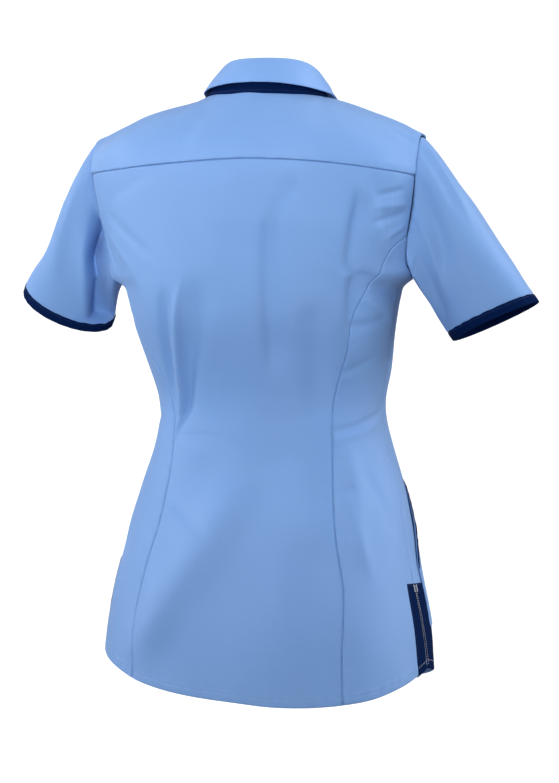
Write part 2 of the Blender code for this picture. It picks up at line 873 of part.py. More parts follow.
def add_back(blue, navy, collection):
    """Back panels, from the hem to the yoke seam and the armholes, with their vent facings."""
    half_gap = SEAM_GAP / 2
    centre = inset(centre_grid(), half_gap, half_gap, 0.0, half_gap)
    add_cloth("back_centre", [centre], BODY_WALL, blue, collection, turned=True)
    for name, side in (("right", -1), ("left", 1)):
        grid = side_grid(side)
        edge = vent_inset(grid[:, ::-1], vent_top(side))
        grid = inset(grid, PANEL_SEAM_GAP, edge, 0.0, TIP_GAP)
        turned = side > 0
        add_cloth("back_side_" + name, [grid], BODY_WALL, blue, collection, turned=turned)
        facing = grid[: VENT_ROWS + 1, -3:]
        facing = moved_out(facing, SEAM_GAP + TRIM_WALL, turned)
        add_cloth("vent_back_" + name, [facing], TRIM_WALL, navy, collection, turned=turned)


def front_grid(side):
    """Grid of a front, its columns from the centre to the side seam."""
    columns = np.array(front_columns())
    height = front_heights(side, np.maximum(columns, 0))
    share = columns[None, :] + 0 * height
    facing = facing_share(height[:, -3])
    share[:, -3] = facing
    share[:, -2] = 1 - (1 - facing) * (1 - SIDE_PANEL_SHARES[-2]) / (1 - SIDE_PANEL_FACING)
    fade = np.linspace(1, 0, VENT_ROWS + 1)
    for place in (-3, -2):
        low = hem_height("front", side * share[:1, place])[0]
        height[: VENT_ROWS + 1, place] += (low - height[0, place]) * fade
    under = 0 * height if side < 0 else -OVERLAP_DEPTH * overlap_share(share, height)
    grid = body("front", side * share, height, under)
    neck_end = CENTRE_COLUMNS + np.arange(NECK_END_COLUMNS) + 1
    top = np.full(len(columns), SEAM_GAP / 2)
    top[neck_end] = NECK_END_GAP
    return inset(grid, 0.0, vent_inset(grid[:, ::-1], vent_top(side)), 0.0, top)


def overlap_share(share, height):
    """How much of the overlap's depth the under front takes: all of it near the centre."""
    across = smooth_body("front", share, height)[..., 0]
    start, end = OVERLAP_EASE
    return 1 - ease((across - start) / (end - start))


def front_columns():
    """Shares of a front's columns, from past the centre line to the side edge."""
    start = -OVERLAP / (LEVELS[1].half_width * math.pi / 2)
    near = np.linspace(start, YOKE_FRONT_SHARE, CENTRE_COLUMNS + 1)
    return np.concatenate([near, SHOULDER_SHARES])


def add_fronts(blue, navy, collection):
    """Fronts, the right one over the left, with their hip pockets and vent facings."""
    low_row = FRONT_ROWS[0]
    band_row = sum(FRONT_ROWS[:3])
    mouth_row = band_row + FRONT_ROWS[3]
    start = CENTRE_COLUMNS + 1 + MOUTH_START
    end = CENTRE_COLUMNS + 1 + MOUTH_END
    step = SEAM_GAP + TRIM_WALL
    for name, side in (("right", -1), ("left", 1)):
        grid = front_grid(side)
        turned = side < 0
        add_cloth("front_" + name, [grid], BODY_WALL, blue, collection, turned=turned)
        facing = moved_out(grid[: VENT_ROWS + 1, -3:], step, turned)
        add_cloth("vent_front_" + name, [facing], TRIM_WALL, navy, collection, turned=turned)
        lift = step + mouth_gape(grid.shape[:2], mouth_row, start, end)
        patch = moved_out(grid, lift, turned)[low_row : mouth_row + 1, CENTRE_COLUMNS : end + 1]
        patch = inset(patch, right=SEAM_GAP)
        add_cloth("pocket_" + name, [patch], TRIM_WALL, blue, collection, turned=turned)
        edge = moved_out(patch, step, turned)[band_row - low_row :, start - CENTRE_COLUMNS :]
        add_cloth("pocket_edge_" + name, [edge], TRIM_WALL, navy, collection, turned=turned)


def mouth_gape(shape, mouth_row, start, end):
    """How far each point of a front's grid would stand off under a pocket that gapes."""
    rows = np.arange(shape[0])[:, None]
    columns = np.arange(shape[1])[None, :]
    near = ease(1 - np.abs(mouth_row - rows) / GAPE_ROWS)
    along = np.clip((columns - start) / (end - start), 0, 1)
    return MOUTH_GAPE * near * ease(along / GAPE_RISE) * ease((GAPE_END - along) / GAPE_RISE)


def add_yoke(blue, collection):
    """Back yoke, which wraps over the shoulders to the fronts."""
    half_gap = SEAM_GAP / 2
    share = yoke_columns()
    height = chest_line("back", share)[None, :] * yoke_rise()[:, None]
    grids = [inset(body("back", share[None, :] + 0 * height, height), 0.0, 0.0, half_gap, 0.0)]
    side = np.array(SHOULDER_SHARES)
    down = np.array(YOKE_FRONT_ROWS)[:, None]
    for shares in (-side[::-1], side):
        height = yoke_front(shares)[None, :] * down
        grid = body("front", shares[None, :] + 0 * height, height)
        gap = np.where(np.abs(shares) < SHOULDER_SHARES[NECK_END_COLUMNS], NECK_END_GAP, half_gap)
        grids.append(inset(grid, 0.0, 0.0, gap, 0.0)[::-1])
    add_cloth("back_yoke", grids, BODY_WALL, blue, collection, turned=True)


def yoke_rise():
    """Share of the yoke seam's depth at each of the yoke's rows, the first one narrow."""
    return np.concatenate([[1.0], np.linspace(1 - NARROW_SHARE, 0, YOKE_ROWS)])


def armhole_loop(side):
    """Points round an armhole from the underarm up the back and down the front, turned to +X."""
    above = centre_edge_heights(side)[len(seam_heights(side)) :]
    seam = chest_line("back", np.array([float(side)]))[0]
    back = np.concatenate([[UNDERARM_HEIGHT], tip_heights(), above, seam * yoke_rise()[1:]])
    strip = yoke_front(np.array([1.0]))[0] * np.array(YOKE_FRONT_ROWS[-2::-1])
    rows = front_heights(side, np.array([1.0]))[:, 0]
    front = np.concatenate([strip, rows[-2:UNDERARM_ROW:-1]])
    loop = np.concatenate([smooth_body("back", side, back), smooth_body("front", side, front)])
    away = np.concatenate([body_normal("back", side, back), body_normal("front", side, front)])
    loop[:, 0] *= side
    away[:, 0] *= side
    closed = np.concatenate([loop, loop[:1]])
    length = np.concatenate([[0], np.cumsum(np.linalg.norm(np.diff(closed, axis=0), axis=1))])
    return length[:-1] / length[-1], loop, away


def cuff_frame(side):
    """Centre of the cuff seam and its axes: outward across, backward and along the arm."""
    height = CUFF_HEIGHT_RIGHT if side < 0 else CUFF_HEIGHT_LEFT
    centre = np.array([CUFF_CENTRE_X, CUFF_CENTRE_Y, height])
    along = unit(np.array(ARM_OUT))
    across = np.array([1.0, 0.0, 0.0])
    across = unit(across - along * (across @ along))
    behind = np.cross(along, across)
    if behind[1] < 0:
        behind = -behind
    return centre, across, behind, along


def cuff_ring(side, around, scale=1.0, out=0.0):
    """Points round the cuff seam, matched to the armhole from the underarm up the back."""
    centre, across, behind, along = cuff_frame(side)
    turn = math.pi * (1 - 2 * around)
    ring = across * (CUFF_HALF_ACROSS * scale * np.cos(turn))[:, None]
    ring = ring + behind * (CUFF_HALF_DEPTH * scale * np.sin(turn))[:, None]
    return centre + along * out + ring


def sleeve_fold_rise(side, around, along):
    """How far the folds of a sleeve move its surface out."""
    total = 0 * around * along
    for fold in SLEEVE_FOLDS:
        if fold.side != side:
            continue
        run_along = fold.end_along - fold.start_along
        share = (along - fold.start_along) / run_along
        centre = fold.start_around + (fold.end_around - fold.start_around) * share
        beside = (around - centre + 0.5) % 1 - 0.5
        shape = np.exp(-((beside / fold.width) ** 2))
        total = total + fold.rise * shape * fold_ends(share, SLEEVE_FOLD_REACH)
    return total * ease(along / SLEEVE_FOLD_ROOT) * ease((1 - along) / SLEEVE_FOLD_CUFF)


def sleeve_grid(side, around, root, normal):
    """Grid of a sleeve from the armhole to the cuff seam."""
    ways = [through(LEADS, name, around) for name in ("out", "back", "up")]
    lead = unit(np.stack(ways, axis=-1))
    head = ease(1 - np.abs(around - 0.5) / HEAD_SHARE)
    start = root + lead * SEAM_GAP - normal * (HEAD_TUCK * head)[:, None]
    end = cuff_ring(side, around)
    span = np.linalg.norm(end - start, axis=-1, keepdims=True)
    arm = cuff_frame(side)[3]
    along = np.linspace(0, 1, SLEEVE_ROWS + 1)[:, None, None]
    grid = hermite(start, lead * span * ROOT_REACH, end, arm * span * CUFF_REACH, along)
    centre = grid.mean(axis=1, keepdims=True)
    rise = sleeve_fold_rise(side, around[None, :], along[..., 0])
    grid = grid + unit(grid - centre) * rise[..., None]
    grid[..., 0] *= side
    return grid


def add_sleeves(blue, navy, collection):
    """Short sleeves with their navy cuff bands."""
    for name, side in (("right", -1), ("left", 1)):
        around, root, normal = armhole_loop(side)
        grid = sleeve_grid(side, around, root, normal)
        turned = side < 0
        add_cloth("sleeve_" + name, [grid], BODY_WALL, blue, collection, True, turned)
        band = [
            cuff_ring(side, around, 1 + (CUFF_FLARE - 1) * share, SEAM_GAP + CUFF_BAND * share)
            for share in (0.0, 0.5, 1.0)
        ]
        band = np.stack(band) * np.array([side, 1, 1])
        add_cloth("cuff_" + name, [band], BODY_WALL, navy, collection, True, turned)


def mirrored(points, turn):
    """Points of the left side, turned to the right one where the half turn is negative."""
    side = np.where(turn < 0, -1.0, 1.0)
    return points * np.stack([side, 0 * side + 1, 0 * side + 1], axis=-1)


def neck_loop(turn):
    """Neck edge by share of a half turn from the centre back, past 1 beyond the centre front."""
    away = np.abs(turn)
    back = top_edge("back", np.clip(away, 0, 0.5) * 2 * NECK_SHARE)
    past = (1 - away) * 2 * NECK_SHARE
    front = top_edge("front", np.minimum(past, NECK_SHARE))
    return mirrored(np.where((away <= 0.5)[:, None], back, front), turn)


def fold_loop(turn):
    """Fold line of the collar by share of a half turn from the centre back."""
    angle = turn * math.pi
    cosine = np.cos(angle)
    y = FOLD_Y + np.where(cosine > 0, FOLD_BACK, FOLD_FRONT) * cosine
    z = FOLD_MID + FOLD_SWING * cosine + FOLD_BEND * np.cos(2 * angle)
    return np.stack([COLLAR_SHIFT + FOLD_HALF_WIDTH * np.sin(angle), y, z], axis=-1)


def fall_loop(turn):
    """Lower edge of the collar fall by share of a half turn from the centre back."""
    away = np.abs(turn)
    behind = [through(BACK_LEAF, name, away) for name in ("half_width", "y", "height")]
    share, height, clear = (through(FRONT_LEAF, n, away) for n in ("share", "height", "clear"))
    before = smooth_body("front", share, height)
    before = before + body_normal("front", share, height) * clear[:, None]
    points = np.where((away <= 0.5)[:, None], np.stack(behind, axis=-1), before)
    points = mirrored(points, turn)
    points[:, 0] += LEAF_SHIFT * np.cos(np.minimum(away, 1) * math.pi / 2)
    return points


def stand_turns():
    """Places of the stand's columns, which are those of the neck edges below it."""
    share = np.concatenate([front_columns()[: CENTRE_COLUMNS + 1], SHOULDER_SHARES[:2]])
    front = 1 - share / NECK_SHARE / 2
    back = np.concatenate([np.array(MIDDLE_SHARES), SHOULDER_SHARES[:1]])
    half = np.concatenate([back / NECK_SHARE / 2, front[::-1]])
    return np.concatenate([-half[:0:-1], half])


def outward(turn):
    """Level direction out of the neck at each share of a half turn."""
    return np.stack([np.sin(turn * math.pi), np.cos(turn * math.pi), 0 * turn], axis=-1)


def add_collar(blue, navy, collection):
    """Shirt collar: a navy stand and a light blue fall folded over it."""
    turn = stand_turns()
    lap_start, lap_end = STAND_LAP
    under = ease((turn - lap_start) / (lap_end - lap_start))[:, None] * STAND_LAP_DEPTH
    low = neck_loop(turn) - outward(turn) * under
    high = fold_loop(turn) - outward(turn) * under
    climb = unit(high - low)
    low = low + climb * SEAM_GAP
    high = high - climb * (FALL_ROLL + SEAM_GAP)
    rows = [low + (high - low) * share for share in np.linspace(0, 1, STAND_ROWS + 1)]
    add_cloth("collar_stand", [np.stack(rows)], COLLAR_WALL, navy, collection, turned=True)

    turn = np.linspace(-FALL_END, FALL_END, FALL_COLUMNS)
    fold = fold_loop(turn)
    edge = fall_loop(turn)
    out = outward(turn)
    up = np.array([0.0, 0.0, 1.0])
    rows = [fold + out * row.out + up * row.up for row in FALL_ROWS]
    roll = rows[-1]
    bulge_out, bulge_up = FALL_BULGE_WAY
    for share in FALL_SHARES:
        bulge = FALL_BULGE * 4 * share * (1 - share)
        rows.append(roll + (edge - roll) * share + (out * bulge_out + up * bulge_up) * bulge)
    add_cloth("collar_fall", [np.stack(rows[::-1])], COLLAR_WALL, blue, collection, turned=True)


def add_buttons(material, collection):
    """Row of turned buttons down the centre of the right front."""
    mesh = bpy.data.meshes.new("button_profile")
    points = [
        (point.radius * BUTTON_RADIUS, 0.0, point.rise * BUTTON_RISE) for point in BUTTON_PROFILE
    ]
    mesh.from_pydata(points, [(place, place + 1) for place in range(len(points) - 1)], [])
    mesh.materials.append(material)
    for number in range(BUTTON_COUNT):
        height = BUTTON_TOP - number * BUTTON_PITCH
        item = bpy.data.objects.new(f"button_{number + 1}", mesh)
        collection.objects.link(item)
        item.location = body("front", 0.0, height, SEAM_GAP)
        facing = Vector(body_normal("front", 0.0, height))
        item.rotation_euler = facing.to_track_quat("Z", "Y").to_euler()
        turning = item.modifiers.new("turning", "SCREW")
        turning.steps = BUTTON_SIDES
        turning.render_steps = BUTTON_SIDES
        turning.use_merge_vertices = True
        turning.merge_threshold = MERGE_DISTANCE
        turning.use_smooth_shade = True


def main():
    """Clears the scene and builds the tunic."""
    for item in list(bpy.data.objects):
        bpy.data.objects.remove(item, do_unlink=True)
    collection = bpy.data.collections.new(OBJECT_NAME)
    bpy.context.scene.collection.children.link(collection)
    blue = finish("light_blue_twill", *LIGHT_BLUE)
    navy = finish("navy_twill", *NAVY)
    pale = finish("blue_button", *BUTTON_BLUE)
    add_back(blue, navy, collection)
    add_fronts(blue, navy, collection)
    add_yoke(blue, collection)
    add_sleeves(blue, navy, collection)
    add_collar(blue, navy, collection)
    add_buttons(pale, collection)


main()
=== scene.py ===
"""Looks of a light blue twill work tunic with navy trims, filled out as if worn.

Lengths are metres and angles degrees unless a name says otherwise. +Z is up, the front faces -Y
and the wearer's left is +X. A place on the body is a share across one half, -1 and 1 at its side
edges, and a height, which is 0 at the top edge.
"""

from __future__ import annotations

import json
import logging
import math
from collections.abc import Sequence
from dataclasses import dataclass, replace
from enum import Enum
from typing import NamedTuple

import bpy
import numpy as np
from bpy.types import Material, Mesh, Node, NodeSocket, NodeTree, Object, World
from mathutils import Matrix, Vector

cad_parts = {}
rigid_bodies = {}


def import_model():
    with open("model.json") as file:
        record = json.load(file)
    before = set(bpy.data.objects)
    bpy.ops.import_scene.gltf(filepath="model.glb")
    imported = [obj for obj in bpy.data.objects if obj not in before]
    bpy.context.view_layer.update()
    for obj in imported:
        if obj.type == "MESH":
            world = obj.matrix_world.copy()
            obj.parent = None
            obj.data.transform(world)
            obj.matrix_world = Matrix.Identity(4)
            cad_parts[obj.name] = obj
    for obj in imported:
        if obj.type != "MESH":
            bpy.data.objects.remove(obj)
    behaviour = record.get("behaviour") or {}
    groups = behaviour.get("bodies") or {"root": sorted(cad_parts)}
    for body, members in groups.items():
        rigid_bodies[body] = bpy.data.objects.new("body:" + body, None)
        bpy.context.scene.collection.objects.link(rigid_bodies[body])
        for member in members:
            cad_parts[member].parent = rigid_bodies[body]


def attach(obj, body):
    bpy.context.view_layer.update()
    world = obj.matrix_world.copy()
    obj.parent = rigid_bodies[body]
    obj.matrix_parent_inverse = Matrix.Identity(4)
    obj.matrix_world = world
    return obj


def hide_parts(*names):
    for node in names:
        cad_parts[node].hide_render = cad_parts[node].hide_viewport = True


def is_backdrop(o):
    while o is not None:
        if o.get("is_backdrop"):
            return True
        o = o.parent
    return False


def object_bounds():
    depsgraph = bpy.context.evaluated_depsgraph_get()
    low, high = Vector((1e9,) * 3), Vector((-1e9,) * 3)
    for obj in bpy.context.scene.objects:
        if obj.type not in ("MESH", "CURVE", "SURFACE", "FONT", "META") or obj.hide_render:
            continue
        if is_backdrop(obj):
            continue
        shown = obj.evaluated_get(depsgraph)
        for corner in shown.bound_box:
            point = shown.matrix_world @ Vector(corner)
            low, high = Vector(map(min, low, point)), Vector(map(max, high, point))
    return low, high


LOG = logging.getLogger("work_tunic")
ROOT_BODY = "root"
Array = np.ndarray


def table(kind: type, *rows: tuple, first: tuple = ()) -> tuple:
    """Rows of a table under its named columns, each after the same first values."""
    return tuple(kind(*first, *row) for row in rows)


class Half(Enum):
    """Half of the body."""

    BACK = "back"
    FRONT = "front"


class Side(Enum):
    """The wearer's right, at -X, or left, at +X."""

    RIGHT = -1
    LEFT = 1

    @property
    def word(self) -> str:
        """Word that ends the name of a piece on this side."""
        return self.name.lower()


BACK, FRONT = Half
RIGHT, LEFT = Side


class Knot(NamedTuple):
    """Value of a curve at a place along it."""

    place: float
    value: float


class Angles(NamedTuple):
    """Angles of the side edges from the centre back and the centre front at a place."""

    place: float
    back: float
    front: float


class Level(NamedTuple):
    """One level round the body. The seam angle is from the centre back."""

    height: float
    half_width: float
    side_y: float
    back_depth: float
    front_depth: float
    back_flat: float
    front_flat: float
    seam_angle: float


LEVELS = table(
    Level,
    (-0.72, 0.191, -0.03, 0.134, 0.126, 0.06, 0.07, 87),
    (-0.64, 0.1882, -0.03, 0.131, 0.125, 0.06, 0.07, 87),
    (-0.59, 0.1842, -0.0318, 0.127, 0.121, 0.06, 0.06, 85),
    (-0.54, 0.1752, -0.0355, 0.12, 0.116, 0.06, 0.06, 83),
    (-0.49, 0.1645, -0.038, 0.11, 0.108, 0.05, 0.05, 83),
    (-0.44, 0.1528, -0.046, 0.1, 0.096, 0.05, 0.06, 85),
    (-0.39, 0.1365, -0.0475, 0.095, 0.088, 0.04, 0.07, 88),
    (-0.345, 0.1285, -0.047, 0.096, 0.089, 0.04, 0.08, 90),
    (-0.3, 0.1385, -0.0356, 0.103, 0.108, 0.05, 0.06, 91),
    (-0.25, 0.149, -0.017, 0.112, 0.132, 0.06, 0.04, 91),
    (-0.205, 0.158, -0.0125, 0.117, 0.138, 0.06, 0.04, 90),
    (-0.165, 0.174, -0.013, 0.119, 0.131, 0.06, 0.05, 90),
    (-0.125, 0.189, -0.011, 0.117, 0.119, 0.05, 0.05, 90),
    (-0.085, 0.197, -0.006, 0.111, 0.107, 0.05, 0.05, 90),
    (-0.05, 0.1985, -0.003, 0.1, 0.096, 0.05, 0.05, 90),
)

# Length of a quarter of the body round the hem.
HEM_QUARTER = LEVELS[1].half_width * math.pi / 2

# Share of the underarm flare at a height above the underarm.
FLARES = table(
    Knot,
    (-0.5, 0.0),
    (-0.04, 0.0),
    (-0.022, 0.01),
    (-0.01, 0.17),
    (0.0, 1.0),
    (0.018, 0.72),
    (0.038, 0.4),
    (0.08, 0.1),
    (0.12, 0.0),
)

UNDERARM = -0.203
# Angles of the armhole edges at the root of a rise above the underarm.
ARMHOLE = table(
    Angles,
    (0.0, 90.0, 90.0),
    (0.055, 86.0, 84.0),
    (0.11, 82.0, 77.0),
    (0.173, 79.5, 71.5),
    (0.235, 77.5, 70.0),
    (0.283, 76.0, 71.0),
    (0.339, 74.5, 75.0),
    (0.394, 74.0, 79.0),
)


class Hem(NamedTuple):
    """Hem height on each side at a share from the centre to the side seam."""

    share: float
    back_right: float
    back_left: float
    front_right: float
    front_left: float


HEM = table(
    Hem,
    (0.0, -0.6715, -0.6715, -0.658, -0.658),
    (0.15, -0.676, -0.6665, -0.659, -0.656),
    (0.3, -0.6765, -0.659, -0.658, -0.651),
    (0.45, -0.6735, -0.6485, -0.655, -0.642),
    (0.6, -0.668, -0.637, -0.65, -0.631),
    (0.8, -0.6535, -0.623, -0.642, -0.62),
    (1.0, -0.636, -0.613, -0.636, -0.613),
)

# Height of the yoke seam at a share across the back, right to left.
YOKE_SEAM = table(
    Knot,
    (-1.0, -0.0925),
    (-0.735, -0.087),
    (-0.46, -0.08),
    (-0.1, -0.0745),
    (0.28, -0.078),
    (0.585, -0.083),
    (1.0, -0.086),
)

# Share at which the back panel seam runs at a height.
BACK_SEAM = table(
    Knot,
    (-0.72, 0.448),
    (-0.62, 0.45),
    (-0.54, 0.466),
    (-0.49, 0.444),
    (-0.445, 0.44),
    (-0.385, 0.486),
    (-0.335, 0.532),
    (-0.3, 0.578),
    (-0.257, 0.642),
    (-0.228, 0.703),
    (-0.205, 0.762),
    (-0.187, 0.822),
    (-0.172, 0.89),
    (-0.158, 1.0),
)

# Height of a pocket's top edge at a share of the front.
MOUTH = table(
    Knot,
    (0.57, -0.4),
    (0.68, -0.429),
    (0.79, -0.469),
    (0.9, -0.522),
)


class Fold(NamedTuple):
    """A soft trough or ridge on one half, from one place to another.

    It bows to the left of its run by the bow, is steeper on one side by the lean, and its
    width grows to the taper's share of itself at the end.
    """

    half: Half
    start_share: float
    start_height: float
    end_share: float
    end_height: float
    width: float
    rise: float
    bow: float = 0.0
    lean: float = 0.0
    taper: float = 1.0


MAIN_FOLDS = table(
    Fold,
    (0.272, -0.223, 0.458, -0.36, 0.0046, 0.0042),
    (0.15, -0.219, 0.425, -0.362, 0.02, -0.0075, 0.0, 0.0, 0.25),
    (0.353, -0.225, 0.482, -0.323, 0.01, -0.0052, 0.0, 0.0, 0.5),
    (-0.285, -0.1, -0.178, -0.16, 0.012, -0.0034, 0.003),
    (-0.178, -0.15, -0.165, -0.3, 0.014, -0.0058, 0.0, -0.4),
    (-0.617, -0.121, -0.627, -0.268, 0.013, -0.0078, 0.0, -0.3, 1.3),
    (-0.63, -0.099, -0.843, -0.181, 0.008, 0.0026),
    (-0.392, -0.241, -0.417, -0.351, 0.02, -0.005),
    (0.015, -0.437, 0.435, -0.617, 0.03, 0.011),
    (-0.292, -0.493, -0.405, -0.656, 0.034, -0.005),
    (-0.603, -0.4, -0.62, -0.516, 0.016, 0.0046),
    first=(BACK,),
) + table(
    Fold,
    (0.42, -0.25, 0.18, -0.39, 0.02, -0.0048),
    (-0.44, -0.24, -0.2, -0.4, 0.02, -0.005),
    (0.56, -0.31, 0.3, -0.42, 0.012, 0.0034),
    (-0.52, -0.33, -0.27, -0.43, 0.012, 0.0032),
    (0.3, -0.12, 0.5, -0.23, 0.022, -0.004),
    (-0.28, -0.11, -0.52, -0.22, 0.022, -0.004),
    (0.35, -0.48, 0.42, -0.64, 0.032, -0.0044),
    (-0.25, -0.5, -0.3, -0.65, 0.03, -0.0042),
    first=(FRONT,),
)

CREASES = table(
    Fold,
    (0.708, -0.117, 0.393, -0.091, 0.009, -0.0014),
    (-0.732, -0.116, -0.905, -0.109, 0.0036, -0.002),
    (-0.728, -0.129, -0.938, -0.124, 0.004, 0.0018),
    (-0.73, -0.145, -0.932, -0.135, 0.0042, -0.0023),
    (-0.843, -0.16, -0.953, -0.148, 0.0036, 0.0017),
    (-0.51, -0.375, -0.922, -0.355, 0.004, -0.0022, 0.002),
    (-0.505, -0.384, -0.882, -0.366, 0.005, 0.0014, 0.002),
    (-0.458, -0.446, -0.583, -0.437, 0.004, -0.0016),
    (-0.627, -0.263, -0.877, -0.249, 0.005, -0.0014),
    (-0.715, -0.23, -1.0, -0.252, 0.006, 0.0016),
    (-0.738, -0.212, -1.0, -0.228, 0.005, -0.0016),
    (-0.59, -0.309, -0.787, -0.295, 0.0045, -0.0012),
    (0.458, -0.38, 0.193, -0.381, 0.004, -0.0014),
    (0.488, -0.36, 0.328, -0.345, 0.004, -0.0014),
    (0.463, -0.398, 0.232, -0.404, 0.005, 0.0012),
    (0.155, -0.384, -0.29, -0.408, 0.011, -0.0012, 0.004),
    (-0.085, -0.362, -0.495, -0.348, 0.011, -0.0012, 0.004),
    (0.383, -0.451, 0.137, -0.495, 0.008, -0.0014),
    (-0.672, -0.417, -0.887, -0.484, 0.009, -0.0014),
    (-0.535, -0.45, -0.672, -0.532, 0.01, 0.0016),
    (0.758, -0.133, 0.445, -0.179, 0.008, -0.0016),
    (0.782, -0.161, 0.528, -0.212, 0.006, 0.0012),
    (0.143, -0.019, 0.242, -0.069, 0.011, -0.0012, 0.003),
    (-0.37, -0.033, -0.568, -0.073, 0.011, -0.0012, 0.003),
    (-0.843, -0.006, -0.98, -0.015, 0.004, 0.0013),
    (-0.818, -0.037, -0.968, -0.041, 0.0045, -0.0012),
    (0.857, -0.039, 0.605, -0.045, 0.006, -0.0013),
    (0.86, -0.23, 0.64, -0.27, 0.006, -0.0014, 0.002),
    (0.9, -0.35, 0.56, -0.372, 0.005, -0.0018, 0.002),
    first=(BACK,),
) + table(
    Fold,
    (-0.7, -0.13, -0.52, -0.24, 0.01, -0.002, 0.004),
    (0.72, -0.14, 0.52, -0.25, 0.01, -0.002, 0.004),
    (-0.86, -0.21, -0.64, -0.235, 0.006, -0.0016, 0.003),
    (0.86, -0.205, 0.66, -0.228, 0.006, -0.0016, 0.003),
    (-0.76, -0.385, -0.42, -0.37, 0.006, -0.0018, 0.004),
    (0.74, -0.38, 0.44, -0.362, 0.006, -0.0018, 0.004),
    (-0.64, -0.345, -0.38, -0.33, 0.005, -0.0014, 0.003),
    (0.62, -0.35, 0.4, -0.336, 0.005, -0.0014, 0.003),
    (-0.16, -0.3, -0.12, -0.42, 0.014, -0.0016, 0.003),
    (0.17, -0.29, 0.14, -0.43, 0.014, -0.0016, 0.003),
    (-0.52, -0.6, -0.5, -0.655, 0.02, 0.0022, 0.002),
    (0.64, -0.56, 0.6, -0.64, 0.022, 0.0022, 0.002),
    first=(FRONT,),
)


class SleeveFold(NamedTuple):
    """A soft trough or ridge on a sleeve, placed round it and from armhole to cuff."""

    side: Side
    start_around: float
    start_along: float
    end_around: float
    end_along: float
    width: float
    rise: float


SLEEVE_FOLDS = table(
    SleeveFold,
    (0.1, -0.1, 0.07, 1.05, 0.023, -0.023),
    (0.23, -0.2, 0.13, 0.45, 0.015, -0.026),
    (0.215, 0.05, 0.165, 0.95, 0.009, 0.004),
    (0.5, 0.05, 0.5, 0.8, 0.045, -0.003),
    (0.135, 0.19, 0.055, 0.06, 0.0035, 0.0024),
    (0.13, 0.28, 0.04, 0.12, 0.006, -0.003),
    (0.12, 0.52, 0.05, 0.49, 0.0036, 0.0017),
    (0.1, 0.78, 0.05, 0.72, 0.0032, 0.0013),
    (0.43, 0.38, 0.36, 0.55, 0.0045, 0.001),
    (0.4, 0.28, 0.35, 0.42, 0.005, -0.001),
    (0.31, 0.15, 0.26, 0.75, 0.014, -0.002),
    (0.44, 0.05, 0.4, 0.35, 0.006, -0.0012),
    (0.56, 0.05, 0.57, 0.4, 0.006, -0.0012),
    (0.63, 0.05, 0.65, 0.7, 0.015, -0.004),
    (0.74, 0.05, 0.73, 0.6, 0.006, -0.0014),
    (0.82, 0.1, 0.79, 0.75, 0.013, 0.0034),
    (0.93, 0.1, 0.8, 0.2, 0.005, -0.0016),
    first=(LEFT,),
) + table(
    SleeveFold,
    (0.425, 0.02, 0.405, 0.5, 0.0048, 0.003),
    (0.39, 0.02, 0.37, 0.4, 0.006, -0.0018),
    (0.29, 0.04, 0.24, 0.55, 0.015, -0.0052),
    (0.21, 0.08, 0.19, 0.65, 0.006, 0.0022),
    (0.12, 0.05, 0.13, 0.9, 0.013, -0.005),
    (0.33, 0.5, 0.29, 0.85, 0.009, 0.0014),
    (0.03, 0.08, 0.11, 0.16, 0.004, 0.0016),
    (0.94, 0.05, 0.96, 0.6, 0.006, -0.0016),
    (0.56, 0.05, 0.58, 0.4, 0.005, -0.0012),
    (0.62, 0.05, 0.66, 0.6, 0.015, -0.004),
    (0.74, 0.05, 0.73, 0.6, 0.006, -0.0014),
    (0.84, 0.1, 0.8, 0.7, 0.014, 0.0032),
    first=(RIGHT,),
)


class Lead(NamedTuple):
    """Direction in which the sleeve leaves the armhole, by share round it from the underarm."""

    around: float
    out: float
    back: float
    up: float


LEADS = table(
    Lead,
    (0.0, 0.46, -0.08, -0.88),
    (0.12, 0.66, 0.1, -0.74),
    (0.27, 0.84, 0.12, -0.53),
    (0.42, 0.78, 0.0, -0.63),
    (0.5, 0.71, -0.16, -0.69),
    (0.6, 0.8, -0.38, -0.46),
    (0.74, 0.78, -0.42, -0.46),
    (0.88, 0.6, -0.32, -0.73),
    (1.0, 0.46, -0.08, -0.88),
)


class LeafEdge(NamedTuple):
    """Lower edge of the collar fall: place on the body and clearance, by share of a half turn."""

    turn: float
    share: float
    height: float
    clear: float


FRONT_LEAF = table(
    LeafEdge,
    (0.5, 0.382, 0.0, 0.0032),
    (0.6, 0.374, -0.012, 0.004),
    (0.72, 0.35, -0.03, 0.0046),
    (0.84, 0.305, -0.047, 0.005),
    (0.92, 0.255, -0.058, 0.005),
    (1.0, 0.19, -0.066, 0.0046),
)


class BackLeaf(NamedTuple):
    """Lower edge of the collar fall behind the shoulders, by share of a half turn."""

    turn: float
    half_width: float
    y: float
    height: float


BACK_LEAF = table(
    BackLeaf,
    (0.0, 0.0, 0.04, 0.0138),
    (0.12, 0.0275, 0.0365, 0.0128),
    (0.25, 0.053, 0.0235, 0.0094),
    (0.38, 0.0697, -0.001, 0.005),
    (0.5, 0.0762, -0.0285, 0.002),
)


class FallRow(NamedTuple):
    """Row of the collar fall: out of and above the fold line, and its share down to the edge."""

    out: float
    up: float
    share: float


FALL_ROWS = table(
    FallRow,
    (-0.0006, -0.0006, 0.0),
    (0.0014, 0.0004, 0.0),
    (0.0035, -0.0008, 0.0),
    (0.0035, -0.0008, 0.3),
    (0.0035, -0.0008, 0.65),
    (0.0035, -0.0008, 1.0),
)


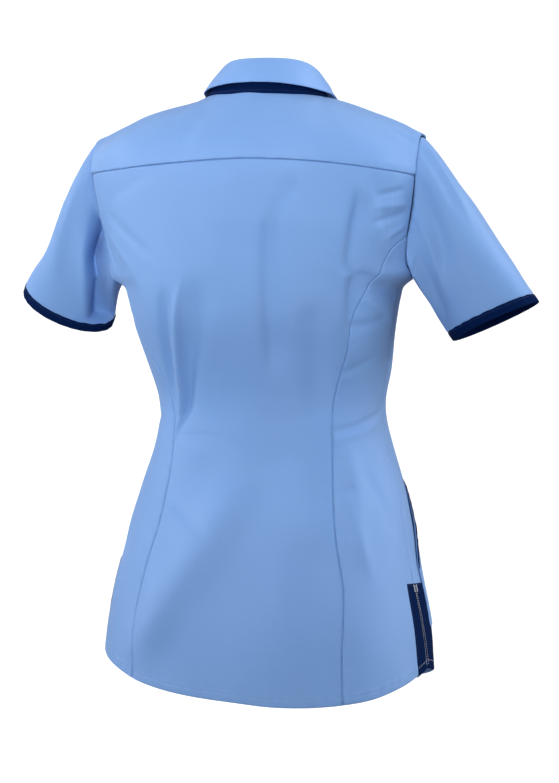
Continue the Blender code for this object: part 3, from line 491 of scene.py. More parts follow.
def through(rows: Sequence[NamedTuple], column: str, at: Array | float) -> Array:
    """Reads a smooth curve through one column of a table, whose first column is the position.

    Args:
        rows: Rows of the table in rising order of position.
        column: Name of the column to read.
        at: Positions to read at.

    Returns:
        Value at each position.
    """
    places = np.array([row[0] for row in rows], float)
    values = np.array([getattr(row, column) for row in rows], float)
    slopes = np.gradient(values, places)
    at = np.clip(at, places[0], places[-1])
    low = np.clip(np.searchsorted(places, at) - 1, 0, len(places) - 2)
    width = places[low + 1] - places[low]
    share = (at - places[low]) / width
    return hermite(values[low], slopes[low] * width, values[low + 1], slopes[low + 1] * width, share)


def hermite(start: Array, start_slope: Array, end: Array, end_slope: Array, share: Array) -> Array:
    """Runs a cubic from start to end with a given slope at each.

    Args:
        start: Value at share 0.
        start_slope: Slope at share 0.
        end: Value at share 1.
        end_slope: Slope at share 1.
        share: Shares to read at.

    Returns:
        Value at each share.
    """
    rest = 1 - share
    return (
        (1 + 2 * share) * rest**2 * start
        + share * rest**2 * start_slope
        + share**2 * (3 - 2 * share) * end
        - share**2 * rest * end_slope
    )


def ease(share: Array | float) -> Array:
    """Smooth step from 0 to 1."""
    share = np.clip(share, 0, 1)
    return share * share * (3 - 2 * share)


def bell(distance: Array, width: Array | float) -> Array:
    """Bell curve of height 1."""
    return np.exp(-((distance / width) ** 2))


def unit(vectors: Array) -> Array:
    """Vectors at length 1."""
    length = np.linalg.norm(vectors, axis=-1, keepdims=True)
    return vectors / np.maximum(length, 1e-12)


def along_line(at: Array, length: Array, points: Array) -> Array:
    """Points at distances along a line, whose own points lie at the given lengths."""
    return np.stack([np.interp(at, length, column) for column in points.T], axis=-1)


def together(share: Array | float, height: Array | float) -> tuple[Array, Array]:
    """Shares and heights as arrays of one shape."""
    return np.broadcast_arrays(np.asarray(share, float), np.asarray(height, float))


def put_in(item: Object) -> Object:
    """Puts an object into the scene."""
    bpy.context.scene.collection.objects.link(item)
    return item


def run_length(points: Array, axis: int) -> Array:
    """Measures along a grid from its first row or column.

    Args:
        points: Grid of points.
        axis: 0 to measure up each column, 1 to measure along each row.

    Returns:
        Distance of each point from the start of its column or row.
    """
    steps = np.linalg.norm(np.diff(points, axis=axis), axis=-1)
    start = np.zeros_like(np.take(steps, [0], axis=axis))
    return np.concatenate([start, np.cumsum(steps, axis=axis)], axis=axis)


# Distances of the close lines from a seam, from the hem and from a plain edge.
CLOSE = (0.0, 0.0005, 0.0011, 0.0018, 0.0028, 0.0042)
HEM_CLOSE = (0.0, 0.0004, 0.001, 0.0022, 0.0045, 0.0064, 0.0072, 0.008, 0.0088, 0.0098, 0.012)
LOOSE = (0.0,)


def graded(
    length: float, step: float, start: Sequence[float] = CLOSE, end: Sequence[float] = CLOSE
) -> Array:
    """Spaces lines across a panel, close together near its edges.

    Args:
        length: Distance between the two edges.
        step: Spacing away from the edges.
        start: Distances of the close lines from the first edge.
        end: Distances of the close lines from the last edge.

    Returns:
        Shares from 0 to 1.
    """
    low, high = start[-1], length - end[-1]
    count = max(int(round((high - low) / step)), 1)
    middle = np.linspace(low, high, count + 1)[1:-1]
    line = np.concatenate([start, middle, length - np.array(end)[::-1]])
    return line / length


def undulation(points: Array) -> Array:
    """Slight unevenness of hanging cloth, in metres, by place.

    Args:
        points: Points of the surface.

    Returns:
        How far each point stands out.
    """
    total = np.zeros(points.shape[:-1])
    for wave in WAVES:
        phase = points[..., 0] * wave.x + points[..., 1] * wave.y + points[..., 2] * wave.z
        total = total + wave.rise * np.sin(phase + wave.shift)
    return total


class Wave(NamedTuple):
    """One wave of the cloth's unevenness: its turns per metre, shift and height."""

    x: float
    y: float
    z: float
    shift: float
    rise: float


WAVES = table(
    Wave,
    (61.0, 23.0, 19.0, 0.4, 0.00034),
    (-47.0, 38.0, 55.0, 2.1, 0.0003),
    (93.0, -51.0, 34.0, 4.4, 0.0002),
    (28.0, 84.0, -72.0, 1.2, 0.0002),
    (-121.0, 67.0, 88.0, 5.3, 0.00011),
    (156.0, 98.0, -64.0, 3.3, 9e-05),
)


def evened(values: Array, step: float, reach: float) -> Array:
    """Evens out values that stand at even steps.

    Args:
        values: Values in order.
        step: Distance from one to the next.
        reach: How far each spreads.

    Returns:
        The evened values.
    """
    count = int(2.5 * reach / step)
    weights = bell(np.arange(-count, count + 1) * step, reach)
    before = 2 * values[0] - values[count:0:-1]
    after = 2 * values[-1] - values[-2 : -count - 2 : -1]
    padded = np.concatenate([before, values, after])
    return np.convolve(padded, weights / weights.sum(), "valid")


def close_levels(step: float = 0.004, reach: float = 0.016) -> tuple[Level, ...]:
    """Fills in the levels closely, evened out so that none shows as a line.

    Args:
        step: Distance from one level to the next.
        reach: How far each is evened out.

    Returns:
        The levels.
    """
    heights = np.arange(LEVELS[0].height, LEVELS[-1].height + step / 2, step)
    columns = [evened(through(LEVELS, name, heights), step, reach) for name in Level._fields[1:]]
    return tuple(Level(*row) for row in np.stack([heights, *columns], axis=1).tolist())


def close_edges(step: float = 0.003, reach: float = 0.018) -> tuple[Angles, ...]:
    """Angles of the side edges, evened out across the underarm.

    Args:
        step: Distance from one height to the next.
        reach: How far each is evened out.

    Returns:
        The angles by height.
    """
    heights = np.arange(-0.36, -0.03, step)
    rise = np.sqrt(np.maximum(heights - UNDERARM, 0))
    seam = through(LEVELS, "seam_angle", heights)
    back = np.where(rise > 0, through(ARMHOLE, "back", rise), seam)
    front = np.where(rise > 0, through(ARMHOLE, "front", rise), 180 - seam)
    columns = (heights, evened(back, step, reach), evened(front, step, reach))
    return tuple(Angles(*row) for row in np.stack(columns, axis=1).tolist())


@dataclass(frozen=True)
class BodyForm:
    """Shape of the filled-out body, from its levels, seams and folds."""

    levels: tuple[Level, ...] = close_levels()
    edges: tuple[Angles, ...] = close_edges()
    edge_start: float = 0.35
    edge_reach: float = 0.35
    armhole: tuple[Angles, ...] = ARMHOLE
    folds: tuple[Fold, ...] = MAIN_FOLDS + CREASES
    underarm: float = UNDERARM
    underarm_flare: float = 0.0155
    flare_power: int = 10
    level_step: float = 0.004
    chest_centre: float = -0.125
    chest_rise: float = 0.04
    rise_reach: float = 1.05
    top_reach: float = 0.95
    neck_share: float = 0.36
    neck_half_width: float = 0.07
    neck_y: float = -0.029
    neck_back: float = 0.067
    neck_front: float = 0.058
    neck_drop: float = 0.058
    neck_end: float = -0.0008
    neck_back_rise: float = 0.0028
    front_neck_power: float = 1.3
    shoulder_tip: tuple[float, float, float] = (0.1905, 0.004, -0.0465)
    shoulder_straight: float = 0.62
    lead_back: float = 0.75
    lead_front: float = 0.55
    lead_turn: float = 0.35
    yoke_front_share: float = 0.31
    yoke_front_full: float = 0.38
    yoke_front_drop: float = 0.021
    main_rise: float = 0.0025
    fold_fade: float = 0.12
    crease_fade: float = 0.03

    def ring(self, angle: Array, height: Array) -> Array:
        """Finds points on the levels.

        Args:
            angle: Angle from the centre back, in radians.
            height: Height of the level.

        Returns:
            Points of the body.
        """
        cosine = np.cos(angle)
        depth, flat = (
            np.where(
                cosine > 0,
                through(self.levels, f"back_{name}", height),
                through(self.levels, f"front_{name}", height),
            )
            for name in ("depth", "flat")
        )
        squared = (cosine - flat * np.cos(3 * angle)) / (1 - flat)
        flare = self.underarm_flare * through(FLARES, "value", height - self.underarm)
        x = through(self.levels, "half_width", height) * np.sin(angle)
        x = x + flare * np.sin(angle) * np.abs(np.sin(angle)) ** self.flare_power
        y = through(self.levels, "side_y", height) + depth * squared
        return np.stack([x, y, height + 0 * x], axis=-1)

    def half_ring(self, half: Half, share: Array, height: Array) -> Array:
        """Finds points of one half on the levels.

        Args:
            half: Back or front.
            share: Place across it.
            height: Height of the level.

        Returns:
            Points of the body.
        """
        angle = np.radians(self.edge_angle(half, share, height)) * share
        return self.ring(angle if half is BACK else math.pi - angle, height)

    def chest_line(self, half: Half, share: Array) -> Array:
        """Height at which the levels end and the shoulder begins: the yoke seam behind.

        Args:
            half: Back or front.
            share: Place across it.

        Returns:
            The heights.
        """
        if half is BACK:
            return through(YOKE_SEAM, "value", share)
        return self.chest_centre + self.chest_rise * share**2

    def top_edge(self, half: Half, share: Array) -> Array:
        """Finds the neck edge, then the shoulder line from the neck to its tip.

        Args:
            half: Back or front.
            share: Place across it.

        Returns:
            Points of the top edge.
        """
        away = np.abs(share)
        side = np.where(share < 0, -1.0, 1.0)
        turn = np.clip(away / self.neck_share, 0, 1) * math.pi / 2
        out = np.clip((away - self.neck_share) / (1 - self.neck_share), 0, 1)
        neck_x = self.neck_half_width * np.sin(turn)
        if half is BACK:
            neck_y = self.neck_y + self.neck_back * np.cos(turn)
            neck_z = self.neck_end + self.neck_back_rise * np.cos(turn)
        else:
            neck_y = self.neck_y - self.neck_front * np.cos(turn)
            drop = np.maximum(np.cos(turn), 0) ** self.front_neck_power
            neck_z = self.neck_end - self.neck_drop * drop
        tip_x, tip_y, tip_z = self.shoulder_tip
        fall = self.shoulder_straight * out + (1 - self.shoulder_straight) * out**2
        line = (
            self.neck_half_width + (tip_x - self.neck_half_width) * out,
            self.neck_y + (tip_y - self.neck_y) * out,
            self.neck_end + (tip_z - self.neck_end) * fall,
        )
        at_neck = away <= self.neck_share
        x, y, z = (np.where(at_neck, n, s) for n, s in zip((neck_x, neck_y, neck_z), line))
        return np.stack([side * x, y, z], axis=-1)

    def top_lead(self, half: Half, share: Array) -> Array:
        """Direction of the cloth as it reaches the top edge.

        Args:
            half: Back or front.
            share: Place across it.

        Returns:
            Unit vectors.
        """
        behind = half is BACK
        at_neck = 1 - ease(np.abs(share) / self.neck_share)
        up = at_neck * (self.lead_back if behind else self.lead_front)
        across = (-1.0 if behind else 1.0) * (1 - self.lead_turn * at_neck)
        return unit(np.stack([0 * share, across, up], axis=-1))

    def smooth(self, half: Half, share: Array, height: Array) -> Array:
        """Finds the body surface before its folds.

        Args:
            half: Back or front.
            share: Place across it.
            height: Place up it.

        Returns:
            Points of the surface.
        """
        share, height = together(share, height)
        line = self.chest_line(half, share)
        level = self.half_ring(half, share, np.minimum(height, line))
        at_line = self.half_ring(half, share, line)
        climb = unit(at_line - self.half_ring(half, share, line - self.level_step))
        top = self.top_edge(half, share)
        span = np.linalg.norm(top - at_line, axis=-1, keepdims=True)
        along = np.clip((height - line) / (0 - line), 0, 1)[..., None]
        lead = self.top_lead(half, share) * span * self.top_reach
        shoulder = hermite(at_line, climb * span * self.rise_reach, top, lead, along)
        return np.where((height > line)[..., None], shoulder, level)

    def normal(self, half: Half, share: Array, height: Array) -> Array:
        """Finds the outward direction of the body surface.

        Args:
            half: Back or front.
            share: Place across it.
            height: Place up it.

        Returns:
            Unit vectors.
        """
        share, height = together(share, height)
        beside, above = 0.004, 0.002
        low = np.minimum(height, -above)
        across = self.smooth(half, share + beside, low) - self.smooth(half, share - beside, low)
        up = self.smooth(half, share, low + above) - self.smooth(half, share, low - above)
        normal = unit(np.cross(across, up))
        return -normal if half is BACK else normal

    def fold_rise(self, half: Half, share: Array, height: Array) -> Array:
        """Adds up how far the folds of one half move its surface out.

        Args:
            half: Back or front.
            share: Place across it.
            height: Place up it.

        Returns:
            Rise at each place.
        """
        girth = through(self.levels, "half_width", height) * math.pi / 2
        main, fine = 0 * share, 0 * share
        for fold in self.folds:
            if fold.half is not half:
                continue
            drop = fold.end_height - fold.start_height
            run_x = (fold.end_share - fold.start_share) * girth
            reach_x = (share - fold.start_share) * girth
            reach_z = height - fold.start_height
            length = np.sqrt(run_x**2 + drop**2)
            along = (run_x * reach_x + drop * reach_z) / length**2
            beside = (run_x * reach_z - drop * reach_x) / length
            bent = np.clip(along, 0, 1)
            beside = beside - fold.bow * 4 * bent * (1 - bent)
            width = fold.width * (1 + fold.lean * np.sign(beside))
            width = width * (1 + (fold.taper - 1) * bent)
            ends = ease(3 * along + 0.5) * ease(3 * (1 - along) + 0.5)
            rise = fold.rise * bell(beside, width) * ends
            if abs(fold.rise) > self.main_rise:
                main = main + rise
            else:
                fine = fine + rise
        aside = 1 - np.abs(share)
        main = main * ease(aside / self.fold_fade) * ease(-height / self.fold_fade)
        return main + fine * ease(aside / self.crease_fade) * ease(-height / self.crease_fade)

    def point(self, half: Half, share: Array, height: Array, lift: Array | float = 0.0) -> Array:
        """Finds the body surface with its folds and unevenness, moved out by the lift.

        Args:
            half: Back or front.
            share: Place across it.
            height: Place up it.
            lift: How far the points stand out of the surface.

        Returns:
            Points of the surface.
        """
        share, height = together(share, height)
        smooth = self.smooth(half, share, height)
        rise = self.fold_rise(half, share, height) + undulation(smooth) + lift
        return smooth + self.normal(half, share, height) * rise[..., None]

    def hem_height(self, half: Half, share: Array) -> Array:
        """Height of the hem.

        Args:
            half: Back or front.
            share: Place across it.

        Returns:
            The heights.
        """
        away = np.abs(share)
        right = through(HEM, half.value + "_right", away)
        left = through(HEM, half.value + "_left", away)
        return np.where(share < 0, right, left)

    def edge_angle(self, half: Half, share: Array, height: Array) -> Array:
        """Finds the angle of a half's side edge, evened out away from that edge.

        Args:
            half: Back or front.
            share: Place across it.
            height: Height of the level.

        Returns:
            Angle from the half's centre line, in degrees.
        """
        rise = np.sqrt(np.maximum(height - self.underarm, 0))
        seam = through(LEVELS, "seam_angle", height)
        below = seam if half is BACK else 180 - seam
        edge = np.where(rise > 0, through(self.armhole, half.value, rise), below)
        even = through(self.edges, half.value, height)
        return even + (edge - even) * ease((np.abs(share) - self.edge_start) / self.edge_reach)

    def seam_share(self, height: Array) -> Array:
        """Finds the share of the centre panel's edge: the panel seam, then the armhole.

        Args:
            height: Heights to find it at.

        Returns:
            The shares.
        """
        whole = through(BACK_SEAM, "value", height)
        share = whole
        for _ in range(4):
            even = through(self.edges, "back", height) / self.edge_angle(BACK, share, height)
            share = whole * (even + (1 - even) * ease((whole - 0.86) / 0.14))
        return np.where(height > BACK_SEAM[-1].place, 1.0, share)

    def yoke_front(self, share: Array) -> Array:
        """Height of the seam where the yoke meets a front."""
        past = (np.abs(share) - self.yoke_front_share) / (self.yoke_front_full - self.yoke_front_share)
        return -self.yoke_front_drop * ease(past)


@dataclass
class Grid:
    """Rows and columns of surface points, with flat cloth coordinates and closeness to edges."""

    points: Array
    flat: Array
    edge: Array

    @classmethod
    def of(cls, points: Array, edge: Array) -> Grid:
        """Grid whose flat coordinates are measured along its rows and columns."""
        flat = np.stack([run_length(points, 1), run_length(points, 0)], axis=-1)
        return cls(points, flat, edge)


class Finish(Enum):
    """Named finish of a piece."""

    BLUE_TWILL = "blue_twill"
    NAVY_TWILL = "navy_twill"
    BLUE_THREAD = "blue_thread"
    NAVY_THREAD = "navy_thread"
    WHITE_THREAD = "white_thread"
    BUTTON = "button_resin"


def node_group(name: str, inputs: dict[str, float], *outputs: str) -> tuple[Wiring, object, Node]:
    """Starts a shader group with named sockets.

    Args:
        name: Name of the group.
        inputs: Float inputs and their values.
        outputs: Float outputs.

    Returns:
        Its wiring, the sockets of its inputs and its output node.
    """
    group = bpy.data.node_groups.new(name, "ShaderNodeTree")
    for title, value in inputs.items():
        socket = group.interface.new_socket(title, in_out="INPUT", socket_type="NodeSocketFloat")
        socket.default_value = value
    for title in outputs:
        group.interface.new_socket(title, in_out="OUTPUT", socket_type="NodeSocketFloat")
    start = group.nodes.new("NodeGroupInput")
    return Wiring(group), start.outputs, group.nodes.new("NodeGroupOutput")


@dataclass
class Wiring:
    """Adds shader nodes to a tree and joins them."""

    tree: NodeTree

    def add(self, kind: str, inputs: dict | None = None, **settings: object) -> Node:
        """Adds a node.

        Args:
            kind: Blender's name of the node, without its first word.
            inputs: Sockets or values for its inputs, by name or number.
            settings: Properties to set on it.

        Returns:
            The node.
        """
        node = self.tree.nodes.new(f"ShaderNode{kind}")
        for name, value in settings.items():
            setattr(node, name, value)
        self.feed(node, inputs or {})
        return node

    def feed(self, node: Node, inputs: dict) -> None:
        """Joins sockets to a node's inputs, or sets values on them.

        Args:
            node: The node.
            inputs: Sockets or values, by the input's name or number.
        """
        for name, value in inputs.items():
            if isinstance(value, NodeSocket):
                self.tree.links.new(value, node.inputs[name])
            else:
                node.inputs[name].default_value = value

    def math(self, operation: str, *values: object) -> NodeSocket:
        """Output of a Math node on sockets or numbers."""
        return self.add("Math", dict(enumerate(values)), operation=operation).outputs[0]

    def noise(self, inputs: dict) -> NodeSocket:
        """Output of a noise over the piece's own coordinates, if no others are given."""
        place = {} if "Vector" in inputs else {"Vector": self.add("TexCoord").outputs["Object"]}
        return self.add("TexNoise", place | inputs).outputs[0]

    def blend(self, share: object, start: object, end: object, mode: str = "MIX") -> object:
        """Output of a colour mix.

        Args:
            share: Socket or value of the share of the end.
            start: Socket or colour.
            end: Socket or colour.
            mode: How they mix.

        Returns:
            Socket of the mixed colour.
        """
        mix = self.add("Mix", data_type="RGBA", blend_type=mode)
        self.feed(mix, {0: share, 6: start, 7: end})
        return mix.outputs[2]


def rgba(colour: Sequence[float]) -> tuple[float, ...]:
    """Colour with full alpha."""
    return (*colour, 1.0)


def new_material(name: str, colour: Sequence[float]) -> tuple[Material, Wiring, Node]:
    """Starts a material.

    Args:
        name: Name of the material.
        colour: Its colour in a plain view.

    Returns:
        The material, its wiring and its main shader.
    """
    material = bpy.data.materials.new(name)
    material.use_nodes = True
    material.diffuse_color = rgba(colour)
    tree = material.node_tree
    return material, Wiring(tree), tree.nodes["Principled BSDF"]


class Effects:
    """Shader groups that several finishes use, each built once."""

    def __init__(self) -> None:
        """Builds the groups."""
        self.weave = self.twill_weave()
        self.tone = self.cloth_tone()
        self.shade_and_wear = self.seam_shade_and_edge_wear()
        self.rumple = self.fine_rumple()

    @staticmethod
    def twill_weave() -> NodeTree:
        """Builds the diagonal lines of twill and the yarns that cross them.

        Returns:
            Group with the height of the yarns and how dark the lines between them are.
        """
        inputs = {"Pitch": 0.00062, "Slope": 1.9}
        wire, start, end = node_group("twill_weave", inputs, "Height", "Line")
        grain = wire.add("UVMap", uv_map="grain").outputs[0]
        u, v, _ = wire.add("SeparateXYZ", {0: grain}).outputs
        across = wire.math("ADD", u, wire.math("MULTIPLY", v, start["Slope"]))
        turns = wire.math("DIVIDE", across, start["Pitch"])
        rib = wire.math("SINE", wire.math("MULTIPLY", turns, math.tau))
        yarns = wire.math("DIVIDE", v, start["Pitch"])
        yarn = wire.math("SINE", wire.math("MULTIPLY", yarns, math.tau * 1.7))
        height = wire.math("ADD", rib, wire.math("MULTIPLY", yarn, 0.35))
        line = wire.math("MULTIPLY", wire.math("SUBTRACT", 1.0, rib), 0.5)
        wire.feed(end, {"Height": height, "Line": line})
        return wire.tree

    @staticmethod
    def cloth_tone() -> NodeTree:
        """Builds slow and yarn-wide changes of tone.

        Returns:
            Group with a tone around 0.5.
        """
        inputs = {"Patches": 9.0, "Slubs": 260.0, "Slub share": 0.4}
        wire, start, end = node_group("cloth_tone", inputs, "Tone")
        slow = wire.noise({"Scale": start["Patches"]})
        grain = wire.add("UVMap", uv_map="grain").outputs[0]
        stretch = wire.add("Mapping", {"Vector": grain, "Scale": (1.0, 5.0, 1.0)})
        slub = wire.noise({"Vector": stretch.outputs[0], "Scale": start["Slubs"]})
        share = start["Slub share"]
        rest = wire.math("MULTIPLY", slow, wire.math("SUBTRACT", 1.0, share))
        wire.feed(end, {"Tone": wire.math("ADD", wire.math("MULTIPLY", slub, share), rest)})
        return wire.tree

    @staticmethod
    def seam_shade_and_edge_wear() -> NodeTree:
        """Builds the mark along seams and edges: painted seam shade on the light blue cloth, wear on the
        navy.

        Returns:
            Group with a mask that is 1 where the mark is strongest.
        """
        wire, start, end = node_group("seam_shade_and_edge_wear", {"Reach": 1.0, "Breaks": 180.0}, "Mask")
        near = wire.add("Attribute", attribute_name="near_edge").outputs["Fac"]
        broken = wire.math("MULTIPLY", wire.noise({"Scale": start["Breaks"]}), near)
        wire.feed(end, {"Mask": wire.math("MULTIPLY", broken, start["Reach"])})
        return wire.tree

    @staticmethod
    def fine_rumple() -> NodeTree:
        """Builds the fine rumples that pressing leaves in the cloth.

        Returns:
            Group with their height.
        """
        wire, start, end = node_group("fine_rumple", {"Large": 24.0, "Small": 95.0}, "Height")
        parts = [
            wire.math("MULTIPLY", wire.noise({"Scale": start[title], "Detail": 1.5}), share)
            for title, share in (("Large", 1.0), ("Small", 0.22))
        ]
        wire.feed(end, {"Height": wire.math("ADD", *parts)})
        return wire.tree


@dataclass(frozen=True)
class TwillFinish:
    """Matt poly-cotton twill: colours, weave and rumples."""

    name: Finish
    colour: tuple[float, float, float]
    pale: tuple[float, float, float]
    seam_shade_and_wear: tuple[float, float, float]
    roughness: float = 0.56
    gloss: float = 0.5
    sheen: float = 0.1
    sheen_tint: tuple[float, float, float] = (0.62, 0.74, 1.0)
    weave_rise: float = 0.00006
    rumple_rise: float = 0.0008
    line_share: float = 0.1
    shade_and_wear_share: float = 0.35

    def make(self, effects: Effects) -> Material:
        """Builds the material.

        Args:
            effects: The shared shader groups.

        Returns:
            The material.
        """
        material, wire, shader = new_material(self.name.value, self.colour)
        weave, tone, shade_and_wear, rumple = (
            wire.add("Group", node_tree=group).outputs
            for group in (effects.weave, effects.tone, effects.shade_and_wear, effects.rumple)
        )
        ground = wire.blend(tone["Tone"], rgba(self.colour), rgba(self.pale))
        line = wire.math("MULTIPLY", weave["Line"], self.line_share)
        lined = wire.blend(line, ground, (0.55, 0.62, 0.75, 1.0), "MULTIPLY")
        # Mixes toward the mark colour along seams and edges: painted seam shade on the light blue, wear
        # on the navy.
        shade_and_wear_amount = wire.math("MULTIPLY", shade_and_wear["Mask"], self.shade_and_wear_share)
        soft = {"Distance": self.rumple_rise, "Strength": 0.6, "Height": rumple["Height"]}
        yarn = {"Distance": self.weave_rise, "Strength": 0.5, "Height": weave["Height"]}
        yarn["Normal"] = wire.add("Bump", soft).outputs[0]
        looks = {
            "Roughness": self.roughness,
            "Specular IOR Level": self.gloss,
            "Sheen Weight": self.sheen,
            "Sheen Roughness": 0.45,
            "Sheen Tint": rgba(self.sheen_tint),
            "Base Color": wire.blend(shade_and_wear_amount, lined, rgba(self.seam_shade_and_wear)),
            "Normal": wire.add("Bump", yarn).outputs[0],
        }
        wire.feed(shader, looks)
        return material


@dataclass(frozen=True)
class ThreadFinish:
    """Spun sewing thread with a slight gloss."""

    name: Finish
    colour: tuple[float, float, float]
    roughness: float = 0.55

    def make(self, effects: Effects) -> Material:
        """Builds the material.

        Args:
            effects: The shared shader groups.

        Returns:
            The material.
        """
        material, wire, shader = new_material(self.name.value, self.colour)
        twist = wire.noise({"Scale": 2600.0})
        # The twist noise paints light and shade along the thread: a shaded and a lit copy of its colour.
        shaded = rgba([0.8 * part for part in self.colour])
        lit = rgba([min(1.15 * part, 1.0) for part in self.colour])
        bump = wire.add("Bump", {"Distance": 0.00005, "Height": twist})
        looks = {"Roughness": self.roughness, "Normal": bump.outputs[0]}
        wire.feed(shader, looks | {"Base Color": wire.blend(twist, shaded, lit)})
        return material


@dataclass(frozen=True)
class ButtonFinish:
    """Moulded resin with a faint cloud and a soft gloss."""

    name: Finish = Finish.BUTTON
    colour: tuple[float, float, float] = (0.24, 0.41, 0.72)
    cloud: tuple[float, float, float] = (0.36, 0.54, 0.84)
    roughness: float = 0.32

    def make(self, effects: Effects) -> Material:
        """Builds the material.

        Args:
            effects: The shared shader groups.

        Returns:
            The material.
        """
        material, wire, shader = new_material(self.name.value, self.colour)
        clouds = wire.noise({"Scale": 210.0, "Distortion": 1.2})
        tone = wire.blend(clouds, rgba(self.colour), rgba(self.cloud))
        rough = wire.math("MULTIPLY_ADD", clouds, 0.12, self.roughness - 0.06)
        wire.feed(shader, {"Coat Weight": 0.15, "Base Color": tone, "Roughness": rough})
        return material


FINISHES = (
    TwillFinish(
        Finish.BLUE_TWILL,
        colour=(0.14, 0.298, 0.63),
        pale=(0.172, 0.332, 0.662),
        # Painted seam shade: the light blue darkens along its seams and edges.
        seam_shade_and_wear=(0.075, 0.185, 0.47),
        shade_and_wear_share=0.5,
    ),
    TwillFinish(
        Finish.NAVY_TWILL,
        colour=(0.0012, 0.0092, 0.052),
        pale=(0.0018, 0.0118, 0.062),
        # The navy's mark is lighter: wear along its edges.
        seam_shade_and_wear=(0.008, 0.026, 0.09),
        roughness=0.8,
        gloss=0.02,
        sheen=0.0,
        sheen_tint=(0.25, 0.36, 0.7),
        line_share=0.2,
        shade_and_wear_share=0.12,
    ),
    ThreadFinish(Finish.BLUE_THREAD, (0.22, 0.4, 0.74)),
    ThreadFinish(Finish.NAVY_THREAD, (0.006, 0.02, 0.09)),
    ThreadFinish(Finish.WHITE_THREAD, (0.72, 0.76, 0.82)),
    ButtonFinish(),
)


class Wardrobe:
    """Every finish by name, and the collection that the pieces go into."""

    def __init__(self) -> None:
        """Builds the finishes and the collection."""
        effects = Effects()
        self.materials = {finish.name: finish.make(effects) for finish in FINISHES}
        self.collection = bpy.data.collections.new("work_tunic")
        bpy.context.scene.collection.children.link(self.collection)

    def hang(self, item: Object, finish: Finish, node: str = "") -> Object:
        """Finishes a piece, fixes it to the body of the tunic and lets it stand for its node.

        Args:
            item: The piece.
            finish: Its finish.
            node: CAD node that it stands for.

        Returns:
            The piece.
        """
        self.collection.objects.link(item)
        item.data.materials.append(self.materials[finish])
        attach(item, ROOT_BODY)
        if node:
            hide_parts(node)
        LOG.info("%s: %d faces", item.name, len(item.data.polygons))
        return item


def filled_mesh(
    name: str, points: Array, faces: Array, flat: Array | None = None, edge: Array | None = None
) -> Mesh:
    """Makes a smooth-shaded mesh of quads.

    Args:
        name: Name of the mesh.
        points: Points.
        faces: Four point numbers a row; a repeated number makes a triangle.
        flat: Flat cloth coordinates of each face's corners.
        edge: Closeness of each point to a sewn edge.

    Returns:
        The mesh.
    """
    flat = points[faces][..., :2] if flat is None else flat
    edge = np.zeros(len(points)) if edge is None else edge
    keep = np.stack([faces[:, corner] != faces[:, corner - 1] for corner in range(4)], axis=1)
    whole = keep.sum(axis=1) >= 3
    faces, flat, keep = faces[whole], flat[whole], keep[whole]
    sizes = keep.sum(axis=1)
    mesh = bpy.data.meshes.new(name)
    mesh.vertices.add(len(points))
    mesh.vertices.foreach_set("co", points.astype(np.float32).ravel())
    mesh.loops.add(int(sizes.sum()))
    mesh.loops.foreach_set("vertex_index", faces[keep].astype(np.int32))
    mesh.polygons.add(len(sizes))
    starts = np.concatenate([[0], np.cumsum(sizes)[:-1]])
    mesh.polygons.foreach_set("loop_start", starts.astype(np.int32))
    layer = mesh.uv_layers.new(name="grain")
    layer.data.foreach_set("uv", flat[keep].astype(np.float32).ravel())
    near = mesh.attributes.new("near_edge", "FLOAT", "POINT")
    near.data.foreach_set("value", edge.astype(np.float32))
    mesh.update(calc_edges=True)
    mesh.validate()
    mesh.shade_smooth()
    return mesh


def grid_faces(rows: int, columns: int) -> Array:
    """Four point numbers of each face of a grid.

    Args:
        rows: Count of rows.
        columns: Count of columns.

    Returns:
        One row a face.
    """
    place = np.arange(rows * columns).reshape(rows, columns)
    corners = (place[:-1, :-1], place[:-1, 1:], place[1:, 1:], place[1:, :-1])
    return np.stack(corners, axis=-1).reshape(-1, 4)


def cloth(name: str, grids: Sequence[Grid], wall: float, turned: bool) -> Object:
    """Makes a thin shell of cloth through one grid, or through several that share edge points.

    Args:
        name: Name of the piece.
        grids: Grids of its outer face.
        wall: Thickness, inward.
        turned: True where the grids' faces would point inward.

    Returns:
        The piece.
    """
    points = np.concatenate([grid.points.reshape(-1, 3) for grid in grids])
    flat = np.concatenate([grid.flat.reshape(-1, 2) for grid in grids])
    edge = np.concatenate([grid.edge.reshape(-1) for grid in grids])
    quads, start = [], 0
    for grid in grids:
        rows, columns = grid.points.shape[:2]
        quads.append(start + grid_faces(rows, columns))
        start += rows * columns
    faces = np.concatenate(quads)
    if turned:
        faces = faces[:, ::-1]
    keys = np.round(points * 2e6).astype(np.int64)
    _, first, index = np.unique(keys, axis=0, return_index=True, return_inverse=True)
    index = index.reshape(-1)
    mesh = filled_mesh(name, points[first], index[faces], flat[faces], edge[first])
    item = bpy.data.objects.new(name, mesh)
    solidify = item.modifiers.new("wall", "SOLIDIFY")
    solidify.thickness = wall
    solidify.offset = -1.0
    return item


class EdgeKind(Enum):
    """How an edge of a panel is made."""

    SEAM = "seam"
    PRESSED = "pressed"
    HEM = "hem"
    TURNED = "turned"
    RAW = "raw"


